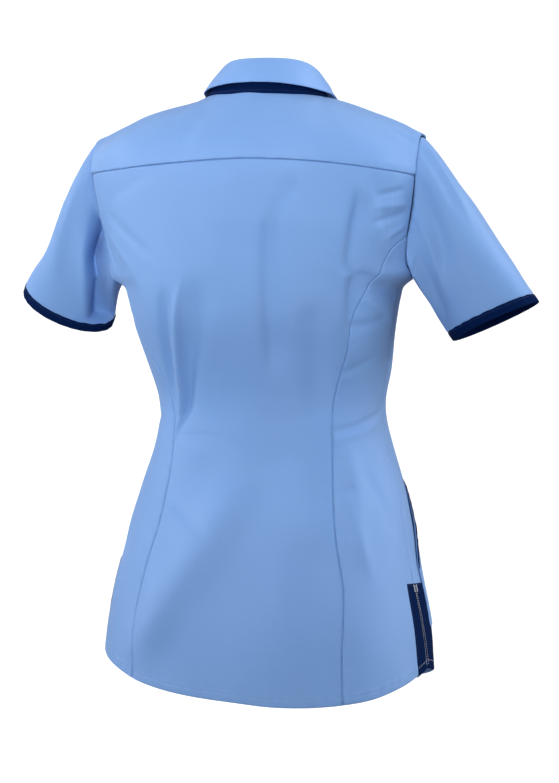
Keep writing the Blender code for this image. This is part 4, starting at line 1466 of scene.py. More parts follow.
@dataclass(frozen=True)
class Edge:
    """Profile of one edge of a panel, by distance from it."""

    kind: EdgeKind
    dip: float = 0.0008
    reach: float = 0.0013
    flange: float = 0.003
    allowance: float = 0.009
    proud: float = 0.0005
    stitch: float = 0.0
    groove: float = 0.00028
    groove_reach: float = 0.0009
    pucker: float = 0.00022
    pucker_reach: float = 0.006
    pucker_from: float = 0.004
    ease_in: float = 0.003
    shade_and_wear_amount: float = 1.0
    shade_and_wear_reach: float = 0.0012

    def lift(self, away: Array, along: Array) -> Array:
        """Finds how far the cloth stands out near the edge.

        Args:
            away: Distance from the edge.
            along: Distance along it.

        Returns:
            Lift of the outer face.
        """
        if self.kind is EdgeKind.RAW:
            return 0 * away
        rise = -self.dip * bell(away, self.reach)
        if self.kind in (EdgeKind.PRESSED, EdgeKind.HEM):
            rise = rise + self.proud * ease((self.allowance + self.ease_in - away) / self.ease_in)
        if self.stitch:
            rise = rise - self.groove * bell(away - self.stitch, self.groove_reach)
        wave = np.sin(along * 430 + 1.7 * np.sin(along * 91)) + 0.6 * np.sin(along * 241 + 1.1)
        beside = bell(away - (self.stitch or self.pucker_from), self.pucker_reach)
        return rise + self.pucker * wave * beside * ease(away / 0.002)

    def near(self, away: Array) -> Array:
        """Closeness to the edge, for the edge mark: painted seam shade on light blue cloth, wear on navy.

        Args:
            away: Distance from the edge.

        Returns:
            Closeness, up to 1.
        """
        if self.kind is EdgeKind.RAW:
            return 0 * away
        return self.shade_and_wear_amount * bell(away, self.shade_and_wear_reach)


SEAM = Edge(EdgeKind.SEAM, dip=0.0011)
SIDE_SEAM = Edge(EdgeKind.SEAM, dip=0.0006, reach=0.001)
PRESSED = Edge(EdgeKind.PRESSED, dip=0.0003, reach=0.0007)
SHOULDER = Edge(EdgeKind.PRESSED, dip=0.0002, reach=0.0006, flange=0.0018, shade_and_wear_amount=0.15)
HEM_EDGE = Edge(EdgeKind.HEM, dip=0.0004, reach=0.0005, stitch=0.008, proud=0.0004, flange=0.0)
TURNED = Edge(EdgeKind.TURNED, dip=0.0004, reach=0.0006, flange=0.0011)
POCKET_EDGE = Edge(EdgeKind.TURNED, dip=0.0003, reach=0.0006, flange=0.0009, stitch=0.0022)
BAND_EDGE = replace(POCKET_EDGE, flange=0.0007, stitch=0.0018)
FACING_EDGE = replace(BAND_EDGE, flange=0.0008)
FACING_HEM = replace(BAND_EDGE, flange=0.002, stitch=0.008)
FACING_SIDE = replace(BAND_EDGE, flange=0.002, stitch=0.0)
RAW = Edge(EdgeKind.RAW, flange=0.0)


@dataclass(frozen=True)
class Edges:
    """The four edges of a panel: first and last column, bottom and top row."""

    left: Edge
    right: Edge
    bottom: Edge
    top: Edge


class Tailor:
    """Turns places on the body into panels with made-up edges."""

    hem_turn = 0.0012
    hem_depth = 0.0092
    hem_drop = 0.0003
    seam_inset = 0.00012

    def __init__(self, form: BodyForm) -> None:
        """Keeps the form of the body."""
        self.form = form

    def panel(
        self,
        half: Half,
        share: Array,
        height: Array,
        edges: Edges,
        lift: Array | float = 0.0,
        flange_fade: Array | None = None,
    ) -> Grid:
        """Builds a panel of the body.

        Args:
            half: Back or front.
            share: Share of each row and column.
            height: Height of each row and column.
            edges: Its four edges.
            lift: How far it stands out.
            flange_fade: Share of the last column's flange at each row.

        Returns:
            Its grid, with the edges turned in.
        """
        base = self.form.point(half, share, height, lift)
        normal = self.form.normal(half, share, height)
        across, up = run_length(base, 1), run_length(base, 0)
        away = {"left": across, "right": across[:, -1:] - across, "bottom": up, "top": up[-1:] - up}
        along = {"left": up, "right": up, "bottom": across, "top": across}
        # near is closeness to the edges, for the edge mark: painted seam shade on light blue cloth, wear
        # on navy.
        rise, near = np.zeros(share.shape), np.zeros(share.shape)
        for word, distance in away.items():
            edge = getattr(edges, word)
            rise = rise + edge.lift(distance, along[word])
            near = np.maximum(near, edge.near(distance))
        points = base + normal * rise[..., None]
        points, normal, near = self.turned_in(points, normal, near, edges, flange_fade)
        if edges.bottom.kind is EdgeKind.HEM:
            count = int(np.sum(up[:, up.shape[1] // 2] < self.hem_depth))
            inside = points[1:count] - normal[1:count] * self.hem_turn
            fold = points[:1] - normal[:1] * self.hem_turn / 2
            drop = np.array([0.0, 0.0, -self.hem_drop])
            points = np.concatenate([inside[::-1], fold + drop, points])
            near = np.concatenate([near[1:count][::-1] * 0, near[:1], near])
        return Grid.of(points, near)

    def turned_in(
        self, points: Array, normal: Array, near: Array, edges: Edges, flange_fade: Array | None
    ) -> tuple[Array, Array, Array]:
        """Adds the cloth that turns inward at each seam.

        Args:
            points: Points of the panel.
            normal: Outward directions.
            near: Closeness to an edge.
            edges: The panel's edges.
            flange_fade: Share of the last column's flange at each row.

        Returns:
            The three grids with the added rows and columns.
        """
        grids = [points, normal, near]
        ends = ((1, 0, edges.left), (1, -1, edges.right), (0, 0, edges.bottom), (0, -1, edges.top))
        for axis, place, edge in ends:
            if not edge.flange:
                continue
            last = [np.take(grid, place, axis=axis) for grid in grids]
            inner = np.take(grids[0], 2 if place == 0 else -3, axis=axis)
            last[0] = last[0] + unit(inner - last[0]) * self.seam_inset
            grids[0][(slice(None),) * axis + (place,)] = last[0]
            depth = np.full(len(last[0]), edge.flange)
            if (axis, place) == (1, -1) and flange_fade is not None:
                depth = depth * flange_fade
            last[0] = last[0] - last[1] * depth[:, None]
            for index, added in enumerate(last):
                pair = [np.expand_dims(added, axis), grids[index]]
                grids[index] = np.concatenate(pair if place == 0 else pair[::-1], axis=axis)
        return tuple(grids)

    def line(self, half: Half, share: Array, height: Array, lift: float) -> tuple[Array, Array]:
        """Finds a line on the cloth for stitches.

        Args:
            half: Back or front.
            share: Shares along the line.
            height: Heights along the line.
            lift: How far the line stands out.

        Returns:
            Its points and outward directions.
        """
        share, height = together(share, height)
        return self.form.point(half, share, height, lift), self.form.normal(half, share, height)


class Needle:
    """Sews rows of raised stitches, joined into one mesh a piece."""

    pitch = 0.0027
    length = 0.0021
    width = 0.00042
    height = 0.0003
    tack_pitch = 0.00048
    tack_length = 0.0019

    def __init__(self) -> None:
        """Builds the shape of one stitch."""
        turn = np.arange(6) * math.pi / 3
        rings = [
            np.stack([at + 0 * turn, size * np.cos(turn), size * np.sin(turn)], axis=-1)
            for at, size in ((-0.34, 0.4), (0.0, 0.5), (0.34, 0.4))
        ]
        ends = [np.array([[-0.5, 0.0, 0.0]]), np.array([[0.5, 0.0, 0.0]])]
        self.points = np.concatenate([ends[0], *rings, ends[1]])
        faces = []
        for place in range(6):
            beside = (place + 1) % 6
            faces.append([0, 1 + beside, 1 + place, 1 + place])
            faces.append([19, 13 + place, 13 + beside, 13 + beside])
            for ring in (1, 7):
                faces.append([ring + place, ring + beside, ring + 6 + beside, ring + 6 + place])
        self.faces = np.array(faces)

    def row(self, points: Array, normals: Array, pitch: float | None = None) -> Array:
        """Places stitches along a line.

        Args:
            points: Points of the line, closer than a stitch.
            normals: Outward directions.
            pitch: Distance from one stitch to the next.

        Returns:
            Centre, run, outward direction and length of each stitch.
        """
        pitch = pitch or self.pitch
        length = run_length(points, 0)
        count = max(int(length[-1] / pitch), 1)
        places = (np.arange(count) + 0.5) * length[-1] / count
        centre, out = along_line(places, length, points), along_line(places, length, normals)
        ahead, behind = (along_line(places + step, length, points) for step in (0.001, -0.001))
        size = np.full((count, 1), self.length * pitch / self.pitch)
        return np.concatenate([centre, unit(ahead - behind), unit(out), size], axis=1)

    def tack(self, points: Array, normals: Array) -> Array:
        """Places the close cross stitches of a bar tack along a short line.

        Args:
            points: Points of the line.
            normals: Outward directions.

        Returns:
            Centre, run, outward direction and length of each stitch.
        """
        stitches = self.row(points, normals, self.tack_pitch)
        stitches[:, 3:6] = unit(np.cross(stitches[:, 6:9], stitches[:, 3:6]))
        stitches[:, 9] = self.tack_length
        return stitches

    def sew(self, name: str, stitches: Sequence[Array]) -> Object:
        """Joins stitches into one piece.

        Args:
            name: Name of the piece.
            stitches: Arrays of stitches.

        Returns:
            The piece.
        """
        rows = np.concatenate(stitches)
        centre, run, out, size = rows[:, :3], rows[:, 3:6], rows[:, 6:9], rows[:, 9:]
        across = np.cross(out, run)
        shape = self.points
        points = (
            centre[:, None]
            + run[:, None] * (shape[None, :, :1] * size[:, None])
            + across[:, None] * shape[None, :, 1:2] * self.width
            + out[:, None] * shape[None, :, 2:] * self.height
        )
        faces = self.faces[None] + len(shape) * np.arange(len(rows))[:, None, None]
        mesh = filled_mesh(name, points.reshape(-1, 3), faces.reshape(-1, 4))
        return bpy.data.objects.new(name, mesh)


@dataclass(frozen=True)
class Cut:
    """Flat cut of a piece: width and length of its rectangle, and its area."""

    width: float
    length: float
    area: float


@dataclass
class Workroom:
    """What every sub-assembly sews with."""

    form: BodyForm
    tailor: Tailor
    needle: Needle
    wardrobe: Wardrobe

    def hang(self, item: Object, finish: Finish, node: str = "") -> Object:
        """Hangs a piece in the wardrobe."""
        return self.wardrobe.hang(item, finish, node)

    def row(self, half: Half, share: Array, height: Array, lift: float, *pitch: float) -> Array:
        """Row of stitches along a line on the cloth."""
        return self.needle.row(*self.tailor.line(half, share, height, lift), *pitch)

    def tack(self, half: Half, share: Array, height: Array, lift: float) -> Array:
        """Bar tack along a line on the cloth."""
        return self.needle.tack(*self.tailor.line(half, share, height, lift))

    def stitching(self, name: str, finish: Finish, stitches: Sequence[Array]) -> Object:
        """Sews and hangs a piece of stitching."""
        return self.hang(self.needle.sew(name, stitches), finish)

    def sheet(self, item: Object, cut: Cut, *sewn: Object) -> None:
        """Logs how large a piece's flat cut is and how much of its mesh shows.

        Args:
            item: The piece.
            cut: Its flat cut.
            sewn: Stitching that belongs to it; not used.
        """
        item.data.calc_loop_triangles()
        area = sum(face.area for face in item.data.polygons)
        LOG.info("%s: cut %.4f m2, shows %.4f m2", item.name, cut.area, area)


@dataclass
class BackPanels:
    """Centre back and the two side panels, from the hem to the yoke seam."""

    room: Workroom
    wall: float = 0.0006
    half_width: float = 0.17
    length: float = 0.59
    step: float = 0.0025
    side_width: float = 0.15
    side_length: float = 0.47
    side_rise: float = 0.998
    hem_place: float = 0.7
    hem_lift: float = 0.0003
    vent_opening: float = 0.0022
    hem_depth: float = 0.008
    armhole_row: tuple[float, float] = (-0.094, -0.172)
    armhole_share: float = -0.825
    armhole_bend: float = 0.02
    armhole_reach: float = 0.08
    armhole_pitch: float = 0.0042
    armhole_stitch: float = 0.0013
    centre_cut: Cut = Cut(0.443, 0.644, 0.174)
    side_cuts: tuple[Cut, Cut] = (Cut(0.14, 0.565, 0.051), Cut(0.135, 0.541, 0.0465))

    def build(self) -> None:
        """Builds the three panels with their hem stitches."""
        self.centre()
        for side in Side:
            self.side_panel(side)

    def centre(self) -> None:
        """Builds the centre back panel."""
        form, room = self.room.form, self.room
        columns = 2 * graded(2 * self.half_width, self.step) - 1
        rows = graded(self.length, self.step, HEM_CLOSE)
        column, row = np.meshgrid(columns, rows)
        low = form.hem_height(BACK, column * BACK_SEAM[0].value)
        height = low + (form.chest_line(BACK, column) - low) * row
        share = column * form.seam_share(height)
        panel = room.tailor.panel(BACK, share, height, Edges(SEAM, SEAM, HEM_EDGE, SEAM))
        item = cloth("centre_back", [panel], self.wall, True)
        room.hang(item, Finish.BLUE_TWILL, "back_centre")
        at = np.linspace(-0.996, 0.996, 400)
        low = form.hem_height(BACK, at * BACK_SEAM[0].value) + self.hem_depth
        line = room.tailor.line(BACK, at * form.seam_share(low), low, self.hem_lift)
        sewn = [
            room.stitching("centre_back_hem_stitches", Finish.BLUE_THREAD, [room.needle.row(*line)])
        ]
        height = np.linspace(*self.armhole_row, 120)
        bend = self.armhole_bend * ease((height[0] - height) / self.armhole_reach)
        share = self.armhole_share - bend
        row = room.row(BACK, share, height, 0.0002, self.armhole_pitch)
        row[:, 9] = self.armhole_stitch
        sewn.append(room.stitching("armhole_stitches", Finish.WHITE_THREAD, [row]))
        room.sheet(item, self.centre_cut, *sewn)

    def side_share(self, side: Side, column: Array, height: Array) -> Array:
        """Share of a place on a side panel, its columns from the panel seam to the side edge."""
        low = self.room.form.seam_share(height)
        return side.value * (low + (1 - low) * column)

    def side_panel(self, side: Side) -> None:
        """Builds one side panel.

        Args:
            side: Right or left.
        """
        form, room = self.room.form, self.room
        columns = graded(self.side_width, self.step)
        rows = graded(self.side_length, self.step, HEM_CLOSE, LOOSE) * self.side_rise
        column, row = np.meshgrid(columns, rows)
        tip = BACK_SEAM[-1].place
        low_share = self.side_share(side, columns, form.hem_height(BACK, side.value * self.hem_place))
        low = form.hem_height(BACK, low_share)[None, :]
        height = low + (tip - low) * row
        share = self.side_share(side, column, height)
        fade = vent_fade(side, height[:, -1])
        panel = room.tailor.panel(
            BACK, share, height, Edges(SEAM, SIDE_SEAM, HEM_EDGE, RAW), flange_fade=fade
        )
        open_vent(panel, side, self.vent_opening)
        item = cloth(f"side_back_{side.word}", [panel], self.wall, side is LEFT)
        room.hang(item, Finish.BLUE_TWILL, f"back_side_{side.word}")
        at = np.linspace(0.02, 0.84, 200)
        low_share = self.side_share(side, at, form.hem_height(BACK, side.value * self.hem_place))
        low = form.hem_height(BACK, low_share) + self.hem_depth
        line = room.tailor.line(BACK, low_share, low, self.hem_lift)
        sewn = room.stitching(
            f"side_back_{side.word}_hem_stitches", Finish.BLUE_THREAD, [room.needle.row(*line)]
        )
        room.sheet(item, self.side_cuts[side is LEFT], sewn)


# Heights of the side vents' tops, how little cloth turns in beside them, and how they open.
VENT_TOPS = {RIGHT: -0.5435, LEFT: -0.517}
VENT_FLANGE = 0.35
VENT_REACH = 0.006
VENT_COLUMNS = 8


def vent_fade(side: Side, height: Array) -> Array:
    """Share of the side seam's turned-in cloth at each height: little down the vent."""
    return VENT_FLANGE + (1 - VENT_FLANGE) * ease((height - VENT_TOPS[side]) / VENT_REACH + 0.5)


def open_vent(panel: Grid, side: Side, opening: float) -> None:
    """Draws the last columns of a panel in down the vent.

    Args:
        panel: The panel's grid.
        side: Right or left.
        opening: How far the edge is drawn in at the hem.
    """
    points = panel.points
    height = points[:, -2, 2]
    depth = np.clip((VENT_TOPS[side] - height) / (VENT_TOPS[side] - height.min()), 0, 1)
    inward = unit(points[:, -VENT_COLUMNS] - points[:, -2])
    for place in range(1, VENT_COLUMNS):
        share = ease(1 - (place - 1) / VENT_COLUMNS)
        points[:, -place] += inward * (opening * depth * share)[:, None]


@dataclass
class Fronts:
    """The two fronts, the right one over the left, with their turned edges."""

    room: Workroom
    wall: float = 0.0006
    width: float = 0.27
    length: float = 0.64
    step: float = 0.0036
    overlap: float = 0.014
    overlap_depth: float = 0.0021
    overlap_ease: tuple[float, float] = (0.018, 0.048)
    facing_width: float = 0.03
    hem_depth: float = 0.008
    vent_opening: float = 0.0022
    cuts: tuple[Cut, Cut] = (Cut(0.287, 0.706, 0.156), Cut(0.29, 0.698, 0.152))

    def start_share(self) -> float:
        """Share of the front edge, past the centre line."""
        return -self.overlap / HEM_QUARTER

    def under(self, side: Side, share: Array, height: Array) -> Array:
        """How far a front lies under the other near the centre.

        Args:
            side: Right or left.
            share: Place across it.
            height: Place up it.

        Returns:
            Lift, 0 or below.
        """
        if side is RIGHT:
            return 0 * height
        across = self.room.form.smooth(FRONT, np.abs(share) * np.sign(share * side.value), height)
        start, end = self.overlap_ease
        return -self.overlap_depth * (1 - ease((across[..., 0] - start) / (end - start)))

    def place(self, side: Side, column: Array, row: Array) -> tuple[Array, Array]:
        """Finds places on a front.

        Args:
            side: Right or left.
            column: Share from the front edge to the side edge.
            row: Share from the hem to the top edge.

        Returns:
            Share and height on the body.
        """
        form = self.room.form
        start = self.start_share()
        away = start + (1 - start) * column
        low = form.hem_height(FRONT, side.value * away)
        top = np.where(away > form.yoke_front_share, form.yoke_front(away), 0.0)
        return side.value * away, low + (top - low) * row

    def build(self) -> None:
        """Builds both fronts with their stitches."""
        for side in Side:
            self.front(side)

    def front(self, side: Side) -> None:
        """Builds one front.

        Args:
            side: Right or left.
        """
        room = self.room
        columns = graded(self.width, self.step)
        rows = graded(self.length, self.step, HEM_CLOSE)
        column, row = np.meshgrid(columns, rows)
        share, height = self.place(side, column, row)
        panel = room.tailor.panel(
            FRONT,
            share,
            height,
            Edges(TURNED, SIDE_SEAM, HEM_EDGE, SEAM),
            self.under(side, share, height),
            vent_fade(side, height[:, -1]),
        )
        open_vent(panel, side, self.vent_opening)
        item = cloth(f"front_panel_{side.word}", [panel], self.wall, side is RIGHT)
        room.hang(item, Finish.BLUE_TWILL, f"front_{side.word}")
        lines = []
        near = np.linspace(0.03, 0.985, 260)
        for inset in (0.0022, self.facing_width):
            lines.append(self.place(side, np.full(260, inset / self.width), near))
        across = np.linspace(0.01, 0.89, 200)
        share, low = self.place(side, across, 0 * across)
        lines.append((share, low + self.hem_depth))
        stitches = []
        for share, height in lines:
            lift = 0.0004 + self.under(side, share, height)
            stitches.append(room.row(FRONT, share, height, lift))
        sewn = room.stitching(f"front_{side.word}_stitches", Finish.BLUE_THREAD, stitches)
        room.sheet(item, self.cuts[side is LEFT], sewn)


@dataclass
class Yoke:
    """Back yoke, which wraps over the shoulders to the fronts."""

    room: Workroom
    wall: float = 0.0006
    step: float = 0.0028
    width: float = 0.42
    rise: float = 0.105
    wing_width: float = 0.32
    strip: float = 0.022
    strip_step: float = 0.0025
    cut: Cut = Cut(0.485, 0.163, 0.0557)

    def build(self) -> None:
        """Builds the yoke."""
        room, form = self.room, self.room.form
        wing = graded(self.width * self.wing_width, self.step, LOOSE, CLOSE)
        wing = form.neck_share + (1 - form.neck_share) * wing
        neck = np.linspace(-form.neck_share, form.neck_share, 58)[1:-1]
        columns = np.concatenate([-wing[::-1], neck, wing])
        rows = graded(self.rise, self.step, CLOSE, LOOSE)
        column, row = np.meshgrid(columns, rows)
        height = form.chest_line(BACK, column) * (1 - row)
        back = room.tailor.panel(BACK, column, height, Edges(SHOULDER, SHOULDER, PRESSED, RAW))
        grids = [back]
        front_rows = graded(self.strip, self.strip_step, CLOSE, LOOSE)
        near = np.linspace(0.318, form.neck_share, 12)[:-1]
        for side in Side:
            shares = np.concatenate([near, wing]) * side.value
            shares = np.sort(shares)
            edges = Edges(SHOULDER, RAW, PRESSED, RAW)
            if side is LEFT:
                edges = Edges(RAW, SHOULDER, PRESSED, RAW)
            column, row = np.meshgrid(shares, front_rows)
            height = form.yoke_front(column) * (1 - row)
            strip = room.tailor.panel(FRONT, column, height, edges)
            grids.append(Grid(strip.points[::-1], strip.flat[::-1], strip.edge[::-1]))
        item = cloth("yoke", grids, self.wall, True)
        room.hang(item, Finish.BLUE_TWILL, "back_yoke")
        room.sheet(item, self.cut)


@dataclass(frozen=True)
class ArmForm:
    """Shape of the sleeves and their bands."""

    form: BodyForm
    arm_out: tuple[float, float, float] = (0.444, -0.451, -0.773)
    centre_x: float = 0.249
    centre_y: float = -0.061
    height_right: float = -0.2415
    height_left: float = -0.2255
    half_across: float = 0.0545
    half_depth: float = 0.038
    head_tuck: float = 0.0018
    head_share: float = 0.16
    root_reach: float = 0.75
    cuff_reach: float = 0.8
    seam_gap: float = 0.0003
    cuff_shift: tuple[float, float] = (0.003, 0.0)
    cuff_tilt: tuple[float, float] = (0.018, 0.0)
    cuff_splay: tuple[float, float] = (0.0, 0.22)
    girth: float = 0.36
    length: float = 0.19
    folds: tuple[SleeveFold, ...] = SLEEVE_FOLDS

    def armhole(self, side: Side, around: Array) -> tuple[Array, Array]:
        """Finds the armhole edge, from the underarm up the back and down the front.

        Args:
            side: Right or left.
            around: Shares of its length.

        Returns:
            Points and outward directions, turned to +X.
        """
        climb = np.linspace(self.form.underarm, 0, 240)
        points, normals = [], []
        for half, heights in ((BACK, climb), (FRONT, climb[::-1])):
            share = np.full(len(heights), float(side.value))
            points.append(self.form.smooth(half, share, heights))
            normals.append(self.form.normal(half, share, heights))
        loop, away = np.concatenate(points), np.concatenate(normals)
        loop[:, 0] *= side.value
        away[:, 0] *= side.value
        length = run_length(loop, 0)
        at = around * length[-1]
        return along_line(at, length, loop), unit(along_line(at, length, away))

    def cuff_frame(self, side: Side) -> tuple[Array, Array, Array, Array]:
        """Centre of the cuff seam and its axes: outward across, backward and along the arm.

        Args:
            side: Right or left.

        Returns:
            The centre and the three axes.
        """
        height = self.height_right if side is RIGHT else self.height_left
        centre = np.array([self.centre_x, self.centre_y, height])
        along = unit(np.array(self.arm_out))
        across = np.array([1.0, 0.0, 0.0])
        across = unit(across - along * (across @ along))
        behind = np.cross(along, across)
        return centre, across, -behind if behind[1] < 0 else behind, along

    def cuff_ring(self, side: Side, around: Array, out: float, lift: float) -> Array:
        """Finds points round the cuff.

        Args:
            side: Right or left.
            around: Shares round it from the underarm.
            out: Distance past the cuff seam along the arm.
            lift: How far it stands out.

        Returns:
            Points, turned to +X.
        """
        centre, across, behind, along = self.cuff_frame(side)
        turn = math.pi * (1 - 2 * around)
        ring = across * ((self.half_across + lift) * np.cos(turn))[:, None]
        ring = ring + behind * ((self.half_depth + lift) * np.sin(turn))[:, None]
        left = side is LEFT
        past = out + self.cuff_shift[left] - self.cuff_tilt[left] * np.sin(turn)
        return centre + along * past[:, None] + ring

    def fold_rise(self, side: Side, around: Array, along: Array) -> Array:
        """How far the folds of a sleeve move its surface out.

        Args:
            side: Right or left.
            around: Shares round the sleeve.
            along: Shares from armhole to cuff.

        Returns:
            Rise at each place.
        """
        total = 0 * around * along
        for fold in self.folds:
            if fold.side is not side:
                continue
            run_u = (fold.end_around - fold.start_around) * self.girth
            run_v = (fold.end_along - fold.start_along) * self.length
            reach_u = ((around - fold.start_around + 0.5) % 1 - 0.5) * self.girth
            reach_v = (along - fold.start_along) * self.length
            run = math.hypot(run_u, run_v)
            share = (run_u * reach_u + run_v * reach_v) / run**2
            beside = (run_u * reach_v - run_v * reach_u) / run
            ends = ease(3 * share + 0.4) * ease(3 * (1 - share) + 0.4)
            total = total + fold.rise * bell(beside, fold.width) * ends
        return total * ease(along / 0.08) * ease((1 - along) / 0.1)

    def surface(self, side: Side, around: Array, along: Array) -> tuple[Array, Array]:
        """Finds the sleeve's surface.

        Args:
            side: Right or left.
            around: Shares round the sleeve, one a column.
            along: Shares from the armhole to the cuff seam, one a row.

        Returns:
            Points turned to +X, and outward directions.
        """
        root, normal = self.armhole(side, around)
        lead = unit(np.stack([through(LEADS, n, around) for n in ("out", "back", "up")], axis=-1))
        head = ease(1 - np.abs(around - 0.5) / self.head_share)
        start = root + lead * self.seam_gap - normal * (self.head_tuck * head)[:, None]
        end = self.cuff_ring(side, around, 0.0, 0.0)
        span = np.linalg.norm(end - start, axis=-1, keepdims=True)
        _, across, _, arm = self.cuff_frame(side)
        outer = np.maximum(np.cos(math.pi * (1 - 2 * around)), 0)[:, None]
        arrive = unit(arm + across * outer * self.cuff_splay[side is LEFT])
        grid = hermite(
            start,
            lead * span * self.root_reach,
            end,
            arrive * span * self.cuff_reach,
            along[:, None, None],
        )
        away = unit(grid - grid.mean(axis=1, keepdims=True))
        rise = self.fold_rise(side, around[None, :], along[:, None]) + undulation(grid)
        return grid + away * rise[..., None], away


@dataclass
class Sleeves:
    """Short sleeves with their navy bands."""

    room: Workroom
    arm: ArmForm
    wall: float = 0.0006
    girth: float = 0.4
    length: float = 0.2
    step: float = 0.0025
    dips: tuple[tuple[float, float], ...] = ((0.0007, 0.0016), (0.0006, 0.0014), (0.0006, 0.0011))
    puckers: tuple[tuple[float, float, float], ...] = ((0.00035, 0.006, 0.007), (0.00022, 0.004, 0.005))
    root_turn: float = 0.003
    end_turn: float = 0.0012
    band: float = 0.0112
    band_wall: float = 0.0005
    band_lift: float = 0.0006
    band_turn: float = 0.0016
    band_ripple: float = 0.00022
    columns: int = 150
    cuts: tuple[Cut, Cut] = (Cut(0.405, 0.216, 0.0462), Cut(0.408, 0.205, 0.0428))
    band_cut: Cut = Cut(0.303, 0.025, 0.0071)

    def build(self) -> None:
        """Builds both sleeves with their bands and stitches."""
        for side in Side:
            self.sleeve(side)
            self.cuff(side)

    def sleeve(self, side: Side) -> None:
        """Builds one sleeve.

        Args:
            side: Right or left.
        """
        around = graded(self.girth, self.step)
        along = graded(self.length, self.step)
        points, away = self.arm.surface(side, around, along)
        up, across = run_length(points, 0), run_length(points, 1)
        seam = np.minimum(across, across[:, -1:] - across)
        root, end = up, up[-1:] - up
        rise = 0 * seam
        for edge, (dip, reach) in zip((root, end, seam), self.dips):
            rise = rise - dip * bell(edge, reach)
        wave = np.sin(across * 390 + 1.4 * np.sin(across * 77))
        for edge, (height, place, reach) in zip((root, end), self.puckers):
            rise = rise + height * wave * bell(edge - place, reach)
        # Closeness to the cuff end and the sleeve seam, for the painted seam shade along them.
        near = np.maximum(bell(end, 0.0012), bell(seam, 0.0012))
        points = points + away * rise[..., None]
        inside = points[:1] - away[:1] * self.root_turn
        tucked = points[-1:] - away[-1:] * self.end_turn
        points = np.concatenate([inside, points, tucked])
        near = np.concatenate([near[:1], near, near[-1:]])
        points[:, -1] = points[:, 0]
        points = points * np.array([side.value, 1, 1])
        item = cloth(f"short_sleeve_{side.word}", [Grid.of(points, near)], self.wall, side is RIGHT)
        room = self.room
        room.hang(item, Finish.BLUE_TWILL, f"sleeve_{side.word}")
        room.sheet(item, self.cuts[side is LEFT])

    def cuff(self, side: Side) -> None:
        """Builds one band, folded over the end of its sleeve.

        Args:
            side: Right or left.
        """
        around = np.linspace(0, 1, self.columns)
        profile = [
            (-0.001, -0.0004),
            (0.0002, 0.0002),
            (0.001, 1.0 * self.band_lift),
            (0.003, 1.1 * self.band_lift),
            (0.006, 1.1 * self.band_lift),
            (self.band - 0.001, self.band_lift),
            (self.band - 0.0003, 0.5 * self.band_lift),
            (self.band, -self.band_turn * 0.3),
            (self.band - 0.0003, -self.band_turn * 0.8),
            (self.band - 0.0012, -self.band_turn),
            (self.band * 0.5, -self.band_turn),
            (0.0, -self.band_turn),
        ]
        wave = np.sin(around * 2 * math.pi * 21 + np.sin(around * 2 * math.pi * 5))
        rows = []
        for out, lift in profile:
            ring = self.arm.cuff_ring(side, around, out, lift)
            away = unit(ring - ring.mean(axis=0))
            rows.append(ring + away * (self.band_ripple * wave)[:, None])
        points = np.stack(rows) * np.array([side.value, 1, 1])
        points[:, -1] = points[:, 0]
        shade_and_wear_amount = np.array([1, 1, 0.4, 0, 0, 0.6, 1, 1, 1, 0.3, 0, 0])
        near = np.repeat(shade_and_wear_amount[:, None], self.columns, axis=1)
        item = cloth(f"sleeve_band_{side.word}", [Grid.of(points, near)], self.band_wall, side is RIGHT)
        room = self.room
        room.hang(item, Finish.NAVY_TWILL, f"cuff_{side.word}")
        line = self.arm.cuff_ring(side, around, 0.0016, self.band_lift * 1.15)
        out = unit(line - line.mean(axis=0))
        flip = np.array([side.value, 1, 1])
        stitches = room.needle.row(line * flip, out * flip)
        sewn = room.stitching(f"sleeve_band_{side.word}_stitches", Finish.NAVY_THREAD, [stitches])
        room.sheet(item, self.band_cut, sewn)


